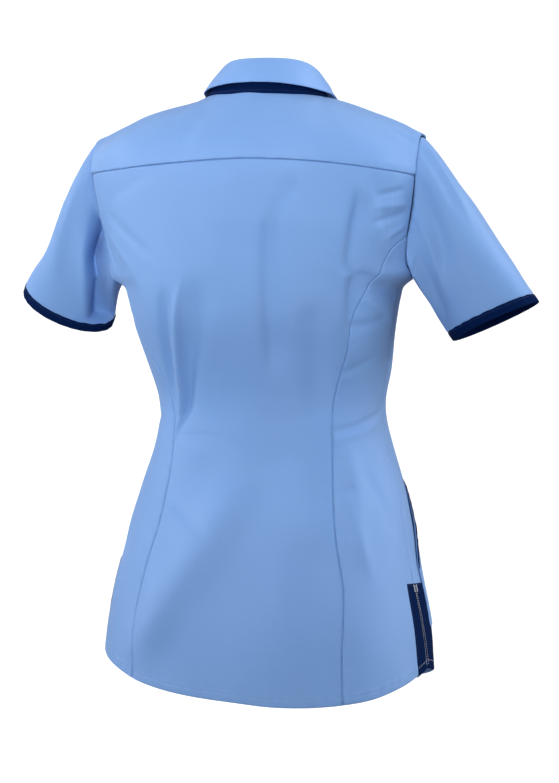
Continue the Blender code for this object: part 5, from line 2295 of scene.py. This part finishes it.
@dataclass
class Collar:
    """Shirt collar: a navy stand and a light blue fall folded over it."""

    room: Workroom
    stand_wall: float = 0.0012
    fall_wall: float = 0.0011
    lap: tuple[float, float] = (0.72, 0.88)
    lap_depth: float = 0.0024
    fall_end: float = 0.965
    bulge: float = 0.0013
    bulge_way: tuple[float, float] = (0.8, 0.6)
    fold_half_width: float = 0.0535
    fold_y: float = -0.034
    fold_back: float = 0.05
    fold_front: float = 0.048
    fold_mid: float = 0.0148
    fold_swing: float = 0.0345
    fold_bend: float = -0.008
    roll: float = 0.0032
    collar_shift: float = -0.0058
    leaf_shift: float = -0.003
    gap: float = 0.0003
    overlap: float = 0.0016
    proud: float = 0.0008
    edge_stitch: float = 0.0045
    drop: float = 0.045
    step: float = 0.0016
    fold_close: tuple[float, ...] = (0.0, 0.0006, 0.0012)
    edge_close: tuple[float, ...] = (0.0, 0.0004, 0.0009, 0.0017, 0.003)
    columns: int = 170
    stand_cut: Cut = Cut(0.486, 0.044, 0.0148)
    fall_cut: Cut = Cut(0.453, 0.0745, 0.0164)

    @staticmethod
    def mirrored(points: Array, turn: Array) -> Array:
        """Points of the left side, turned to the right one where the half turn is negative."""
        side = np.where(turn < 0, -1.0, 1.0)
        return points * np.stack([side, 0 * side + 1, 0 * side + 1], axis=-1)

    @staticmethod
    def outward(turn: Array) -> Array:
        """Level direction out of the neck at each share of a half turn."""
        return np.stack([np.sin(turn * math.pi), np.cos(turn * math.pi), 0 * turn], axis=-1)

    def neck_loop(self, turn: Array) -> Array:
        """Neck edge by share of a half turn from the centre back.

        Args:
            turn: Shares of a half turn.

        Returns:
            Points.
        """
        form = self.room.form
        away = np.abs(turn)
        back = form.top_edge(BACK, np.clip(away, 0, 0.5) * 2 * form.neck_share)
        past = (1 - away) * 2 * form.neck_share
        front = form.top_edge(FRONT, np.minimum(past, form.neck_share))
        return self.mirrored(np.where((away <= 0.5)[:, None], back, front), turn)

    def fold_loop(self, turn: Array) -> Array:
        """Fold line of the collar by share of a half turn from the centre back.

        Args:
            turn: Shares of a half turn.

        Returns:
            Points.
        """
        angle = turn * math.pi
        cosine = np.cos(angle)
        y = self.fold_y + np.where(cosine > 0, self.fold_back, self.fold_front) * cosine
        z = self.fold_mid + self.fold_swing * cosine + self.fold_bend * np.cos(2 * angle)
        return np.stack([self.collar_shift + self.fold_half_width * np.sin(angle), y, z], axis=-1)

    def fall_loop(self, turn: Array) -> Array:
        """Lower edge of the collar fall by share of a half turn from the centre back.

        Args:
            turn: Shares of a half turn.

        Returns:
            Points.
        """
        form = self.room.form
        away = np.abs(turn)
        behind = [through(BACK_LEAF, name, away) for name in ("half_width", "y", "height")]
        share, height, clear = (through(FRONT_LEAF, n, away) for n in ("share", "height", "clear"))
        before = form.smooth(FRONT, share, height)
        before = before + form.normal(FRONT, share, height) * clear[:, None]
        points = np.where((away <= 0.5)[:, None], np.stack(behind, axis=-1), before)
        points = self.mirrored(points, turn)
        points[:, 0] += self.leaf_shift * np.cos(np.minimum(away, 1) * math.pi / 2)
        return points

    def build(self) -> None:
        """Builds the stand and the fall."""
        self.stand()
        self.fall()

    def stand(self) -> None:
        """Builds the stand."""
        start = 1 - Fronts(self.room).start_share() / self.room.form.neck_share / 2
        turn = np.linspace(-start, start, self.columns)
        lap_start, lap_end = self.lap
        under = ease((turn - lap_start) / (lap_end - lap_start))[:, None] * self.lap_depth
        low = self.neck_loop(turn) - self.outward(turn) * under
        high = self.fold_loop(turn) - self.outward(turn) * under
        climb = unit(high - low)
        low = low - climb * self.overlap + self.outward(turn) * self.proud
        high = high - climb * (self.roll + self.gap)
        shares = np.array([0.0, 0.02, 0.06, 0.12, 0.25, 0.45, 0.65, 0.85, 1.0])
        rows = [low + (high - low) * share for share in shares]
        lift = -0.0005 * bell(shares, 0.03)
        points = np.stack(rows) + self.outward(turn)[None] * lift[:, None, None]
        near = np.repeat(bell(shares, 0.05)[:, None], self.columns, axis=1)
        item = cloth("neck_stand", [Grid.of(points, near)], self.stand_wall, True)
        room = self.room
        room.hang(item, Finish.NAVY_TWILL, "collar_stand")
        line = low + (high - low) * 0.1 + self.outward(turn) * 0.0001
        stitches = room.needle.row(line, self.outward(turn))
        sewn = room.stitching("neck_stand_stitches", Finish.NAVY_THREAD, [stitches])
        room.sheet(item, self.stand_cut, sewn)

    def fall(self) -> None:
        """Builds the fall, with the row of stitches inside its edge."""
        turn = np.linspace(-self.fall_end, self.fall_end, self.columns)
        fold, edge, out = self.fold_loop(turn), self.fall_loop(turn), self.outward(turn)
        up = np.array([0.0, 0.0, 1.0])
        rows = []
        for row in FALL_ROWS:
            roll = fold + out * row.out + up * row.up
            bulge = self.bulge * 4 * row.share * (1 - row.share)
            push = out * self.bulge_way[0] + up * self.bulge_way[1]
            rows.append(roll + (edge - roll) * row.share + push * bulge)
        coarse = np.stack(rows)
        length = run_length(coarse, 0)
        whole = length[-1]
        down = graded(self.drop, self.step, self.fold_close, self.edge_close)
        knots = length / whole
        points = self.smoothed(coarse, knots, down)
        across = np.gradient(points, axis=1)
        normal = unit(np.cross(np.gradient(points, axis=0), across))
        normal = normal * np.where((normal * out[None]).sum(axis=-1, keepdims=True) < 0, -1, 1)
        away = (1 - down)[:, None] * whole[None, :]
        along = run_length(points, 1)
        from_edge = np.minimum(away, np.minimum(along, along[:, -1:] - along))
        fade = ease(down / 0.25)[:, None]
        lift = -0.0005 * bell(from_edge, 0.0006) - 0.0003 * bell(from_edge - self.edge_stitch, 0.0009)
        points = points + normal * (lift * fade)[..., None]
        # Closeness to the fall's edges, for the painted shade along them.
        near = bell(from_edge, 0.0013) * fade
        item = cloth("collar_leaf", [Grid.of(points[::-1], near[::-1])], self.fall_wall, True)
        room = self.room
        room.hang(item, Finish.BLUE_TWILL, "collar_fall")
        column = np.arange(self.columns)
        row = np.interp(1 - self.edge_stitch / whole, down, np.arange(len(down)))
        low = np.floor(row).astype(int)
        part = (row - low)[:, None]
        line = points[low, column] * (1 - part) + points[low + 1, column] * part
        keep = slice(3, -3)
        line = (line + normal[low, column] * 0.0001)[keep]
        stitches = [room.needle.row(line, normal[low, column][keep])]
        sewn = room.stitching("collar_leaf_stitches", Finish.BLUE_THREAD, stitches)
        room.sheet(item, self.fall_cut, sewn)

    @staticmethod
    def smoothed(coarse: Array, knots: Array, down: Array) -> Array:
        """Runs a smooth curve down each column of a coarse grid.

        Args:
            coarse: Rows and columns of points.
            knots: Share of each row down its column.
            down: Shares to read at.

        Returns:
            The fine grid.
        """
        columns = []
        for place in range(coarse.shape[1]):
            knot, values = knots[:, place], coarse[:, place]
            slopes = np.gradient(values, knot, axis=0)
            low = np.clip(np.searchsorted(knot, down) - 1, 0, len(knot) - 2)
            width = (knot[low + 1] - knot[low])[:, None]
            share = (down - knot[low])[:, None] / width
            columns.append(
                hermite(values[low], slopes[low] * width, values[low + 1], slopes[low + 1] * width, share)
            )
        return np.stack(columns, axis=1)


@dataclass
class HipPockets:
    """Hip pockets with slanting mouths, each edged with a navy band."""

    room: Workroom
    fronts: Fronts
    wall: float = 0.0005
    width: float = 0.165
    height: float = 0.16
    band_length: float = 0.145
    girth: float = 0.28
    inner: float = 0.31
    mouth_start: float = 0.57
    outer: float = 0.9
    bottom_right: float = -0.592
    bottom_left: float = -0.573
    band: float = 0.0072
    gape: float = 0.0018
    gape_reach: float = 0.075
    lift: float = 0.0013
    band_lift: float = 0.0008
    band_rise: float = 0.0006
    band_step: float = 0.003
    step: float = 0.0034
    cuts: tuple[Cut, Cut] = (Cut(0.208, 0.198, 0.0238), Cut(0.208, 0.179, 0.0208))
    band_cut: Cut = Cut(0.159, 0.0116, 0.0012)

    def mouth(self, away: Array) -> Array:
        """Height of the top edge."""
        return through(MOUTH, "value", away)

    def stand_off(self, away: Array, below: Array) -> Array:
        """How far the pocket stands off where its mouth gapes.

        Args:
            away: Share from the centre.
            below: Distance below the mouth.

        Returns:
            Lift at each place.
        """
        along = np.clip((away - self.mouth_start) / (self.outer - self.mouth_start), 0, 1)
        ends = ease(along / 0.5) * ease((1.25 - along) / 0.5)
        return self.gape * ease(1 - below / self.gape_reach) * ends

    def build(self) -> None:
        """Builds both pockets with their bands and stitches."""
        for side in Side:
            self.pocket(side)
            self.edging(side)

    def point_line(self, side: Side, away: Array, height: Array, lift: float) -> tuple[Array, Array]:
        """Line on the pocket's face for stitches.

        Args:
            side: Right or left.
            away: Shares from the centre.
            height: Heights along the line.
            lift: How far it stands out.

        Returns:
            Its points and outward directions.
        """
        rise = lift + self.stand_off(away, self.mouth(away) - height)
        share = side.value * away
        rise = rise + self.fronts.under(side, share, height)
        return self.room.tailor.line(FRONT, share, height, rise)

    def pocket(self, side: Side) -> None:
        """Builds one pocket.

        Args:
            side: Right or left.
        """
        room = self.room
        bottom = self.bottom_right if side is RIGHT else self.bottom_left
        columns = self.inner + (self.outer - self.inner) * graded(self.width, self.step)
        rows = graded(self.height, self.step)
        away, row = np.meshgrid(columns, rows)
        height = bottom + (self.mouth(away) - bottom) * row
        share = side.value * away
        lift = self.lift + self.stand_off(away, self.mouth(away) - height)
        lift = lift + self.fronts.under(side, share, height)
        edges = Edges(POCKET_EDGE, POCKET_EDGE, POCKET_EDGE, TURNED)
        panel = room.tailor.panel(FRONT, share, height, edges, lift)
        item = cloth(f"hip_pocket_{side.word}", [panel], self.wall, side is RIGHT)
        room.hang(item, Finish.BLUE_TWILL, f"pocket_{side.word}")
        sewn = room.stitching(
            f"hip_pocket_{side.word}_stitches", Finish.BLUE_THREAD, self.stitches(side, bottom)
        )
        room.sheet(item, self.cuts[side is LEFT], sewn)

    def stitches(self, side: Side, bottom: float) -> list[Array]:
        """Places the stitches round a pocket and the bar tacks at its mouth.

        Args:
            side: Right or left.
            bottom: Height of the pocket's bottom edge.

        Returns:
            Arrays of stitches.
        """
        needle = self.room.needle
        inset = POCKET_EDGE.stitch
        up = np.linspace(0.0, 1.0, 120)
        ends = (self.inner + inset / self.girth, self.outer - inset / self.girth)
        rows = []
        for away in ends:
            line = np.full(120, away)
            height = bottom + inset + (self.mouth(line) - inset - bottom) * up * 0.985
            rows.append(needle.row(*self.point_line(side, line, height, self.lift + 0.0002)))
        across = np.linspace(*ends, 160)
        low = np.full(160, bottom + inset)
        rows.append(needle.row(*self.point_line(side, across, low, self.lift + 0.0002)))
        for at in (self.inner + 0.01, self.outer - 0.01):
            line = np.full(12, at)
            height = self.mouth(line) - 0.003 - 0.006 * np.linspace(0, 1, 12)
            rows.append(needle.tack(*self.point_line(side, line, height, self.lift + 0.0009)))
        return rows

    def edging(self, side: Side) -> None:
        """Builds the navy band along one pocket's mouth.

        Args:
            side: Right or left.
        """
        room = self.room
        span = self.outer - self.mouth_start
        columns = self.mouth_start + span * graded(self.band_length, self.step)
        rows = graded(self.band, self.band_step)
        away, row = np.meshgrid(columns, rows)
        below = self.band * (1 - row)
        height = self.mouth(away) - below + self.band_rise
        share = side.value * away
        lift = self.lift + self.band_lift + self.stand_off(away, below)
        panel = room.tailor.panel(FRONT, share, height, Edges(*[BAND_EDGE] * 4), lift)
        item = cloth(f"pocket_band_{side.word}", [panel], self.wall, side is RIGHT)
        room.hang(item, Finish.NAVY_TWILL, f"pocket_edge_{side.word}")
        across = np.linspace(self.mouth_start + 0.007, self.outer - 0.007, 150)
        rows = []
        for below in (BAND_EDGE.stitch, self.band - BAND_EDGE.stitch):
            height = self.mouth(across) - below
            line = self.point_line(side, across, height, self.lift + self.band_lift + 0.0002)
            rows.append(room.needle.row(*line))
        sewn = room.stitching(f"pocket_band_{side.word}_stitches", Finish.NAVY_THREAD, rows)
        room.sheet(item, self.band_cut, sewn)


@dataclass
class VentFacings:
    """Navy facings on the outside of each side vent, one on each edge."""

    room: Workroom
    wall: float = 0.0005
    lift: float = 0.0009
    widths_back: tuple[float, float] = (0.0215, 0.0295)
    widths_front: tuple[float, float] = (0.034, 0.044)
    width: float = 0.026
    length: float = 0.11
    hang: float = 0.0014
    tack_inset: float = 0.004
    opening: float = 0.0022
    slit_inset: float = 0.0013
    step: float = 0.0028
    cuts: tuple[Cut, Cut] = (Cut(0.029, 0.107, 0.0022), Cut(0.042, 0.105, 0.0035))

    def facing_share(self, half: Half, height: Array) -> Array:
        """Share of the inner edge of a facing.

        Args:
            half: Back or front.
            height: Place up it.

        Returns:
            The shares.
        """
        top, hem = self.widths_back if half is BACK else self.widths_front
        down = np.clip((VENT_TOPS[RIGHT] - height) / (VENT_TOPS[RIGHT] - LEVELS[1].height), 0, 1)
        return 1 - (top + (hem - top) * down) / HEM_QUARTER

    def build(self) -> None:
        """Builds the four facings."""
        for side in Side:
            for half in Half:
                self.facing(side, half)

    def facing(self, side: Side, half: Half) -> None:
        """Builds one facing with its white stitches.

        Args:
            side: Right or left.
            half: Back or front.
        """
        room, form = self.room, self.room.form
        columns = graded(self.width, self.step)
        rows = graded(self.length, self.step)
        column, row = np.meshgrid(columns, rows)
        top = VENT_TOPS[side]
        share = side.value * (0.91 + 0.09 * column)
        for _ in range(2):
            low = form.hem_height(half, share) - self.hang
            height = low + (top - low) * row
            inner = self.facing_share(half, height)
            share = side.value * (inner + (1 - inner) * column)
        edges = Edges(FACING_EDGE, FACING_SIDE, FACING_HEM, FACING_EDGE)
        panel = room.tailor.panel(half, share, height, edges, self.lift)
        open_vent(panel, side, self.opening)
        turned = (side is LEFT) if half is BACK else (side is RIGHT)
        name = f"vent_facing_{half.value}_{side.word}"
        item = cloth(name, [panel], self.wall, turned)
        room.hang(item, Finish.NAVY_TWILL, f"vent_{half.value}_{side.word}")
        white, navy = self.stitches(side, half, top)
        sewn = [
            room.stitching(f"{name}_stitches", Finish.WHITE_THREAD, white),
            room.stitching(f"{name}_rows", Finish.NAVY_THREAD, navy),
        ]
        room.sheet(item, self.cuts[half is FRONT], *sewn)

    def stitches(self, side: Side, half: Half, top: float) -> tuple[list[Array], list[Array]]:
        """Places the rows of stitches of one facing and the bar tack at the vent's top.

        Args:
            side: Right or left.
            half: Back or front.
            top: Height of the vent's top.

        Returns:
            Arrays of white stitches and of navy ones.
        """
        room, form = self.room, self.room.form
        lift = self.lift + 0.0002
        low = form.hem_height(half, np.array([float(side.value)]))[0]
        up = np.linspace(low + 0.002, top - 0.002, 120)
        inner = side.value * (self.facing_share(half, up) + FACING_EDGE.stitch / HEM_QUARTER)
        start = self.facing_share(half, np.array([top]))[0]
        share = side.value * (start + (1 - start) * np.linspace(0.08, 0.97, 40))
        navy = [
            room.row(half, inner, up, lift),
            room.row(half, share, np.full(40, top - FACING_EDGE.stitch), lift),
        ]
        drawn = self.opening * np.clip((top - up) / (top - low), 0, 1)
        slit = side.value * (1 - (self.slit_inset + drawn) / HEM_QUARTER)
        start = self.facing_share(half, np.array([low]))[0]
        share = side.value * (start + (1 - start) * np.linspace(0.0025, 0.985, 60))
        height = form.hem_height(half, share) + FACING_HEM.stitch
        line = np.full(14, side.value * (1 - self.tack_inset / HEM_QUARTER))
        tack = np.linspace(top - 0.0095, top - 0.0015, 14)
        white = [
            room.row(half, slit, up, lift),
            room.row(half, share, height, lift),
            room.tack(half, line, tack, lift + 0.0002),
        ]
        return white, navy


@dataclass
class Buttons:
    """Row of sewn four-hole buttons and their buttonholes down the centre of the right front."""

    room: Workroom
    radius: float = 0.0057
    rise: float = 0.0024
    hole_radius: float = 0.0006
    hole_out: float = 0.0013
    top: float = -0.088
    pitch: float = 0.0785
    count: int = 7
    sides: int = 48
    slit_length: float = 0.0145
    slit_width: float = 0.0022
    thread_gap: float = 0.00018

    def profile(self) -> Array:
        """Radius and height of the turned face, from the middle over the rim to the back.

        Returns:
            One row a point.
        """
        radii = (0.0, 0.4, 0.52, 0.62, 0.74, 0.86, 0.96, 1.0, 0.93, 0.72, 0.0)
        heights = (0.6, 0.6, 0.66, 0.86, 0.98, 0.98, 0.82, 0.52, 0.2, 0.0, 0.0)
        return np.stack([radii, heights], axis=-1) * np.array([self.radius, self.rise])

    def turned(self) -> Mesh:
        """Turns the button and drills its four holes.

        Returns:
            Its mesh.
        """
        profile = self.profile()
        angle = np.arange(self.sides) * math.tau / self.sides
        ring = np.stack([np.cos(angle), np.sin(angle)], axis=-1)
        inner = profile[1:-1]
        points = np.concatenate(
            [
                np.concatenate([ring * radius, np.full((self.sides, 1), height)], axis=1)
                for radius, height in inner
            ]
            + [np.array([[0, 0, profile[0, 1]], [0, 0, profile[-1, 1]]])]
        )
        faces, last = [], len(inner) - 1
        for place in range(self.sides):
            beside = (place + 1) % self.sides
            for row in range(last):
                low, high = row * self.sides, (row + 1) * self.sides
                faces.append([low + beside, low + place, high + place, high + beside])
            faces.append([len(points) - 2, place, beside, beside])
            high = last * self.sides
            faces.append([len(points) - 1, high + beside, high + place, high + place])
        mesh = filled_mesh("button_blank", points, np.array(faces))
        blank = put_in(bpy.data.objects.new("button_blank", mesh))
        for place in range(4):
            self.drill(blank, math.pi / 4 + place * math.pi / 2)
        bpy.context.view_layer.update()
        graph = bpy.context.evaluated_depsgraph_get()
        made = bpy.data.meshes.new_from_object(blank.evaluated_get(graph))
        for item in list(bpy.data.objects):
            if item.name.startswith(("button_blank", "button_drill")):
                bpy.data.objects.remove(item, do_unlink=True)
        made.shade_smooth()
        return made

    def drill(self, blank: Object, turn: float) -> None:
        """Adds one hole to the blank.

        Args:
            blank: The button before its holes.
            turn: Direction of the hole from the middle, in radians.
        """
        angle = np.arange(16) * math.tau / 16
        ring = np.stack([np.cos(angle), np.sin(angle)], axis=-1) * self.hole_radius
        centre = np.array([math.cos(turn), math.sin(turn)]) * self.hole_out
        low = np.concatenate([ring + centre, np.full((16, 1), -0.002)], axis=1)
        points = np.concatenate([low, low + np.array([0, 0, 0.008])])
        faces = [[p, (p + 1) % 16, 16 + (p + 1) % 16, 16 + p] for p in range(16)]
        mesh = bpy.data.meshes.new("button_drill")
        ends = [list(range(16))[::-1], list(range(16, 32))]
        mesh.from_pydata([tuple(p) for p in points], [], faces + ends)
        tool = put_in(bpy.data.objects.new("button_drill", mesh))
        tool.hide_render = True
        cut = blank.modifiers.new("hole", "BOOLEAN")
        cut.operation = "DIFFERENCE"
        cut.solver = "EXACT"
        cut.object = tool

    def build(self) -> None:
        """Builds the buttons, the threads that hold them and their buttonholes."""
        room = self.room
        mesh = self.turned()
        threads, holes = [], []
        for number in range(self.count):
            height = self.top - number * self.pitch
            centre, out = (
                part[0] for part in room.tailor.line(FRONT, np.zeros(1), np.array([height]), 0.0008)
            )
            item = bpy.data.objects.new(f"sewn_button_{number + 1}", mesh.copy())
            rotation = Vector(out).to_track_quat("Z", "Y")
            item.data.transform(rotation.to_matrix().to_4x4())
            item.data.transform(Matrix.Translation(Vector(centre)))
            room.hang(item, Finish.BUTTON, f"button_{number + 1}")
            across = np.array(rotation @ Vector((1.0, 0.0, 0.0)))
            along = np.array(rotation @ Vector((0.0, 1.0, 0.0)))
            top = centre + out * (self.rise * 0.6 + 0.0001)
            for way in (across + along, across - along):
                way = unit(way)
                line = top + way * np.linspace(-1, 1, 5)[:, None] * self.hole_out
                for shift in (-self.thread_gap, self.thread_gap):
                    beside = np.cross(out, way) * shift
                    stitch = np.concatenate([line[2] + beside, way, out, [2.1 * self.hole_out]])
                    threads.append(stitch[None])
            holes.append(self.buttonhole(height))
        room.stitching("button_threads", Finish.WHITE_THREAD, threads)
        room.stitching("buttonhole_stitches", Finish.BLUE_THREAD, holes)

    def buttonhole(self, height: float) -> Array:
        """Places the close stitches round one upright buttonhole.

        Args:
            height: Height of its middle.

        Returns:
            Array of stitches.
        """
        turn = np.linspace(0, math.tau, 90)
        share = self.slit_width / 2 * np.clip(3 * np.cos(turn), -1, 1) / HEM_QUARTER
        up = height + self.slit_length / 2 * np.sin(turn)
        return self.room.needle.tack(*self.room.tailor.line(FRONT, share, up, 0.0003))


def aimed(name: str, data: bpy.types.ID, place: Array, way: Array) -> Object:
    """Puts a camera or a light into the scene.

    Args:
        name: Its name.
        data: The camera or the light.
        place: Where it stands.
        way: Direction in which it looks.

    Returns:
        The object.
    """
    item = put_in(bpy.data.objects.new(name, data))
    item.location = place
    item.rotation_mode = "QUATERNION"
    item.rotation_quaternion = Vector(way).to_track_quat("-Z", "Y")
    return item


@dataclass(frozen=True)
class Lamp:
    """Soft light, placed from the middle of the tunic as the picture shows it."""

    name: str
    left: float
    near: float
    up: float
    size: float
    watts: float
    aim_away: float = 0.0
    aim_up: float = 0.0
    spread: float = 180.0


LAMPS = (
    Lamp("key", 0.8, 3.8, 0.45, size=1.1, watts=8.0, aim_up=0.6, spread=42.0),
    Lamp("rim_left", 2.4, 0.5, -0.3, size=0.8, watts=9.0),
    Lamp("rim_right", -2.6, 0.6, 0.4, size=1.0, watts=9.0, aim_up=0.2),
    Lamp("top_right", -1.3, 0.7, 2.4, size=0.7, watts=17.0),
    Lamp("backdrop_left", 2.6, -0.6, 1.4, size=1.5, watts=60.0, aim_away=2.2),
    Lamp("backdrop_right", -2.6, -0.6, 1.4, size=1.5, watts=60.0, aim_away=2.2),
)


@dataclass
class Studio:
    """Pale sweep, soft lights and the camera."""

    distance: float = 5.0
    azimuth: float = 198.0
    lens: float = 205.5
    sensor: float = 36.0
    aim_shift: float = 0.0218
    aim_height: float = -0.3305
    floor_height: float = -0.95
    wall_away: float = 2.3
    wall_height: float = 5.0
    bend: float = 1.1
    room_half: float = 2.2
    room_near: float = 1.2

    def toward(self) -> Array:
        """Level direction from the tunic to the camera."""
        angle = math.radians(self.azimuth)
        return np.array([math.sin(angle), -math.cos(angle), 0.0])

    def right(self) -> Array:
        """Direction to the right of the picture."""
        angle = math.radians(self.azimuth)
        return np.array([math.cos(angle), math.sin(angle), 0.0])

    def build(self) -> None:
        """Builds the sweep, the lights and the camera."""
        self.sweep()
        self.lights()
        self.camera()

    def camera(self) -> None:
        """Adds the camera at the photograph's angle."""
        data = bpy.data.cameras.new("studio_camera")
        data.lens = self.lens
        data.sensor_width = self.sensor
        place = self.toward() * self.distance + self.right() * self.aim_shift
        place = np.array([place[0], place[1], self.aim_height])
        bpy.context.scene.camera = aimed("studio_camera", data, place, -self.toward())

    def sweep(self) -> None:
        """Adds the floor that bends up into a backdrop."""
        away, right = -self.toward(), self.right()
        line = [(-self.room_near, self.floor_height), (self.wall_away - self.bend, self.floor_height)]
        for turn in np.linspace(0, math.pi / 2, 16)[1:]:
            rise = self.bend * (1 - math.cos(turn))
            away_by = self.wall_away - self.bend + self.bend * math.sin(turn)
            line.append((away_by, self.floor_height + rise))
        line.append((self.wall_away, self.floor_height + self.wall_height))
        wide = np.linspace(-self.room_half, self.room_half, 9)
        points = np.array([[away * a + right * w + np.array([0, 0, z]) for w in wide] for a, z in line])
        rows, columns = points.shape[:2]
        mesh = filled_mesh("sweep", points.reshape(-1, 3), grid_faces(rows, columns))
        mesh.materials.append(self.paper())
        item = put_in(bpy.data.objects.new("sweep", mesh))
        item.visible_diffuse = False
        item.visible_glossy = False
        item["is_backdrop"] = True

    @staticmethod
    def paper() -> Material:
        """White paper of the sweep, with a faint tooth, clear from behind.

        Returns:
            The material.
        """
        material, wire, shader = new_material("white_paper", (0.8, 0.8, 0.8))
        tooth = wire.noise({"Scale": 240.0})
        tone = wire.blend(tooth, (0.93, 0.93, 0.93, 1.0), (0.97, 0.97, 0.97, 1.0))
        wire.feed(shader, {"Roughness": 0.95, "Specular IOR Level": 0.1, "Base Color": tone})
        behind = wire.add("NewGeometry").outputs["Backfacing"]
        clear = wire.add("BsdfTransparent").outputs[0]
        sides = wire.add("MixShader", {0: behind, 1: shader.outputs[0], 2: clear})
        wire.feed(wire.tree.nodes["Material Output"], {0: sides.outputs[0]})
        return material

    @staticmethod
    def room_light() -> World:
        """Soft room light, brighter from above, in front of a white room.

        Returns:
            The world.
        """
        world = bpy.data.worlds.new("studio_room")
        world.use_nodes = True
        wire = Wiring(world.node_tree)
        white = wire.tree.nodes["Background"]
        wire.feed(white, {0: (1.0, 1.0, 1.0, 1.0), 1: 1.0})
        split = wire.add("SeparateXYZ", {0: wire.add("TexCoord").outputs["Generated"]})
        reach = {"From Min": -0.6, "To Min": 0.38, "To Max": 0.62}
        level = wire.add("MapRange", reach | {"Value": split.outputs[2]})
        soft = wire.add("Background", {1: level.outputs[0]})
        seen = wire.add("LightPath").outputs["Is Camera Ray"]
        mix = wire.add("MixShader", {0: seen, 1: soft.outputs[0], 2: white.outputs[0]})
        wire.feed(wire.tree.nodes["World Output"], {0: mix.outputs[0]})
        return world

    def lights(self) -> None:
        """Adds a soft room light, a large key and lights on the backdrop."""
        scene = bpy.context.scene
        scene.view_settings.view_transform = "Standard"
        scene.world = self.room_light()
        for lamp in LAMPS:
            self.area(lamp)

    def area(self, lamp: Lamp) -> None:
        """Adds one soft light.

        Args:
            lamp: Its name, place and power.
        """
        data = bpy.data.lights.new(lamp.name, "AREA")
        data.shape = "SQUARE"
        data.size = lamp.size
        data.energy = lamp.watts
        data.spread = math.radians(lamp.spread)
        middle = np.array([0.0, 0.0, self.aim_height])
        place = middle - self.right() * lamp.left + self.toward() * lamp.near
        place = place + np.array([0.0, 0.0, lamp.up])
        target = middle - self.toward() * lamp.aim_away + np.array([0.0, 0.0, lamp.aim_up])
        aimed(lamp.name, data, place, target - place)


def write_sizes(before: tuple[Vector, Vector], after: tuple[Vector, Vector]) -> None:
    """Gathers the corners of the CAD box and of the visual model's box.

    Args:
        before: Corners of the CAD box.
    """
    boxes = {"cad": before, "visual": after}
    sizes = {name: [list(map(float, corner)) for corner in box] for name, box in boxes.items()}


def main() -> None:
    """Loads the frame and builds the tunic on it."""
    logging.basicConfig(level=logging.INFO, format="%(message)s")
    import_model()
    cad_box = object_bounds()
    form = BodyForm()
    room = Workroom(form, Tailor(form), Needle(), Wardrobe())
    BackPanels(room).build()
    fronts = Fronts(room)
    fronts.build()
    Yoke(room).build()
    Sleeves(room, ArmForm(form)).build()
    Collar(room).build()
    HipPockets(room, fronts).build()
    VentFacings(room).build()
    Buttons(room).build()
    Studio().build()
    bpy.context.view_layer.update()
    write_sizes(cad_box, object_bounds())


if __name__ == "__main__":
    main()
